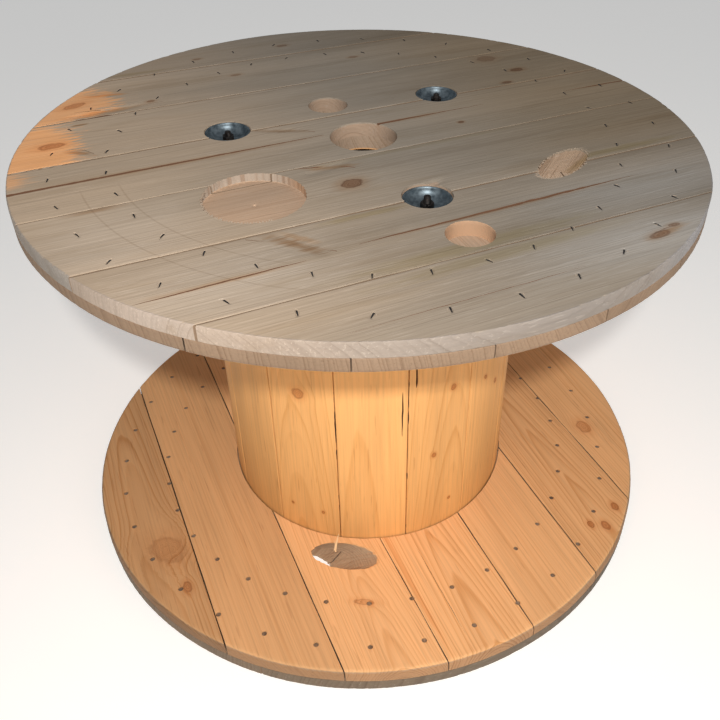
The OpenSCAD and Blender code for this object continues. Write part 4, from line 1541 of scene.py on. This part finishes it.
# %% Lift the splinters
def sliver(foot, tip, width, thick, bend=0.0):
    """A blade from foot to tip, which thins to a point and may bend upward on its way."""
    run = tip - foot
    flat = run.cross(Vector((0, 0, 1)))
    flat = flat.normalized() if flat.length > 1e-6 else Vector((1, 0, 0))
    thin = flat.cross(run).normalized()
    points, stations = [], 5
    for s in range(stations):
        t = s / (stations - 1)
        middle = foot + run * t + thin * bend * math.sin(math.pi * t)
        w, h = width / 2 * (1 - 0.86 * t ** 1.4), thick / 2 * (1 - 0.6 * t)
        points += [middle - flat * w - thin * h, middle + flat * w - thin * h, middle + flat * w + thin * h,
                   middle - flat * w + thin * h]
    faces = [(3, 2, 1, 0), tuple(4 * (stations - 1) + k for k in range(4))]
    for s in range(stations - 1):
        faces += [(4 * s + k, 4 * s + (k + 1) % 4, 4 * s + 4 + (k + 1) % 4, 4 * s + 4 + k) for k in range(4)]
    return points, faces


def on_top(u, v, z):
    """A point of the top face in millimetres of its layer's frame."""
    return layers["top_outer"] @ Vector((u * MM, v * MM, z * MM))


# a fringe round the left and front lip of the label recess
blades = []
for k in range(40):
    a = math.radians(168 + 3.3 * k + 4 * ragged(k, 1.0))
    r = LABEL_D / 2 + 0.0012 * ragged(k, 2.0)
    reach_in = 0.0018 + 0.0030 * ragged(k, 5.0)
    foot = label_at + around(r, a, drum_height - 0.0014)
    twist = a + math.pi + 1.6 * (ragged(k, 7.0) - 0.5)
    tip = foot + around(reach_in, twist, 0.0010)
    blades.append(sliver(foot, tip, 0.0022, 0.0006))
# fibres all round the oval mouth of the cable hole, longest at its tip
mouth_u, mouth_v, half_long, half_wide = 176.3, -159.9, 45.5, 20.6
mouth_cos, mouth_sin = 0.893, 0.451
for k in range(64):
    t = 2 * math.pi * (k + ragged(k, 8.0)) / 64
    at_tip = max(0.0, math.cos(t)) ** 6
    u = mouth_u - mouth_cos * half_long * math.cos(t) + mouth_sin * half_wide * math.sin(t)
    v = mouth_v - mouth_sin * half_long * math.cos(t) - mouth_cos * half_wide * math.sin(t)
    length = 1.5 + 2.5 * ragged(k, 9.0) + 6.0 * at_tip * ragged(k, 4.5)
    away = -1 if k % 3 or at_tip > 0.2 else 1
    tip = on_top(u + away * length, v + 2.4 * (ragged(k, 6.5) - 0.5), -0.3)
    blades.append(sliver(on_top(u, v, -1.2), tip, 0.0018, 0.0006))
# one chip beside each bent nail point of the near half
for k, (centre, bearing) in enumerate(nail_sets["top"]):
    if centre.y < 0.05:
        beside = Vector((-math.sin(bearing), math.cos(bearing), 0)) * (0.0026 if k % 2 else -0.0026)
        foot = Vector((centre.x, centre.y, drum_height - 0.0010)) + beside
        heading = bearing + 1.2 * (ragged(k, 3.0) - 0.5)
        length = 0.0020 + 0.0035 * ragged(k, 6.0)
        blades.append(sliver(foot, foot + around(length, heading, 0.0004), 0.0014, 0.0005))
# lifted grain along a seam at the left
for u, v, length in ((-388, 69, 16), (-372, 68, 12), (-356, 69.5, 14), (-344, 68.5, 10)):
    blades.append(sliver(on_top(u, v, -0.9), on_top(u + length, v + 1.2, -0.5), 0.0018, 0.0007))
blades = [(p, f) for p, f in blades if max(q.z for q in p) < drum_height]
fibre_finish = plain_finish("torn_fibre", (0.46, 0.36, 0.27), 0.8)
finished(solid("torn_fibres_top", *gathered(blades), [fibre_finish]), [])

# two blades stand up together at the foot of the barrel
foot = Vector((-0.0376, -0.2215, FLANGE - 0.0012))
second_foot = foot + Vector((0.001, -0.002, 0))
tall = [sliver(foot, Vector((-0.0335, -0.2022, FLANGE + 0.0095)), 0.0034, 0.0012, 0.0012),
        sliver(second_foot, Vector((-0.0385, -0.2085, FLANGE + 0.0045)), 0.0022, 0.0009)]
splinter_finish = plain_finish("fresh_splinter", (0.86, 0.58, 0.32), 0.8)
finished(solid("splinter_bottom", *gathered(tall), [splinter_finish]), [])
print("blades", len(blades) + len(tall))

# %% [markdown]
# ## Clear the bench and finish
# The cutters were only tools, so they are taken away. The size of the exact model is printed at the end.

# %% Put the tools away
for cutter in tools:
    bpy.data.objects.remove(cutter)
bpy.context.view_layer.update()
print("exact model", [[round(x, 4) for x in c] for c in cad_box])
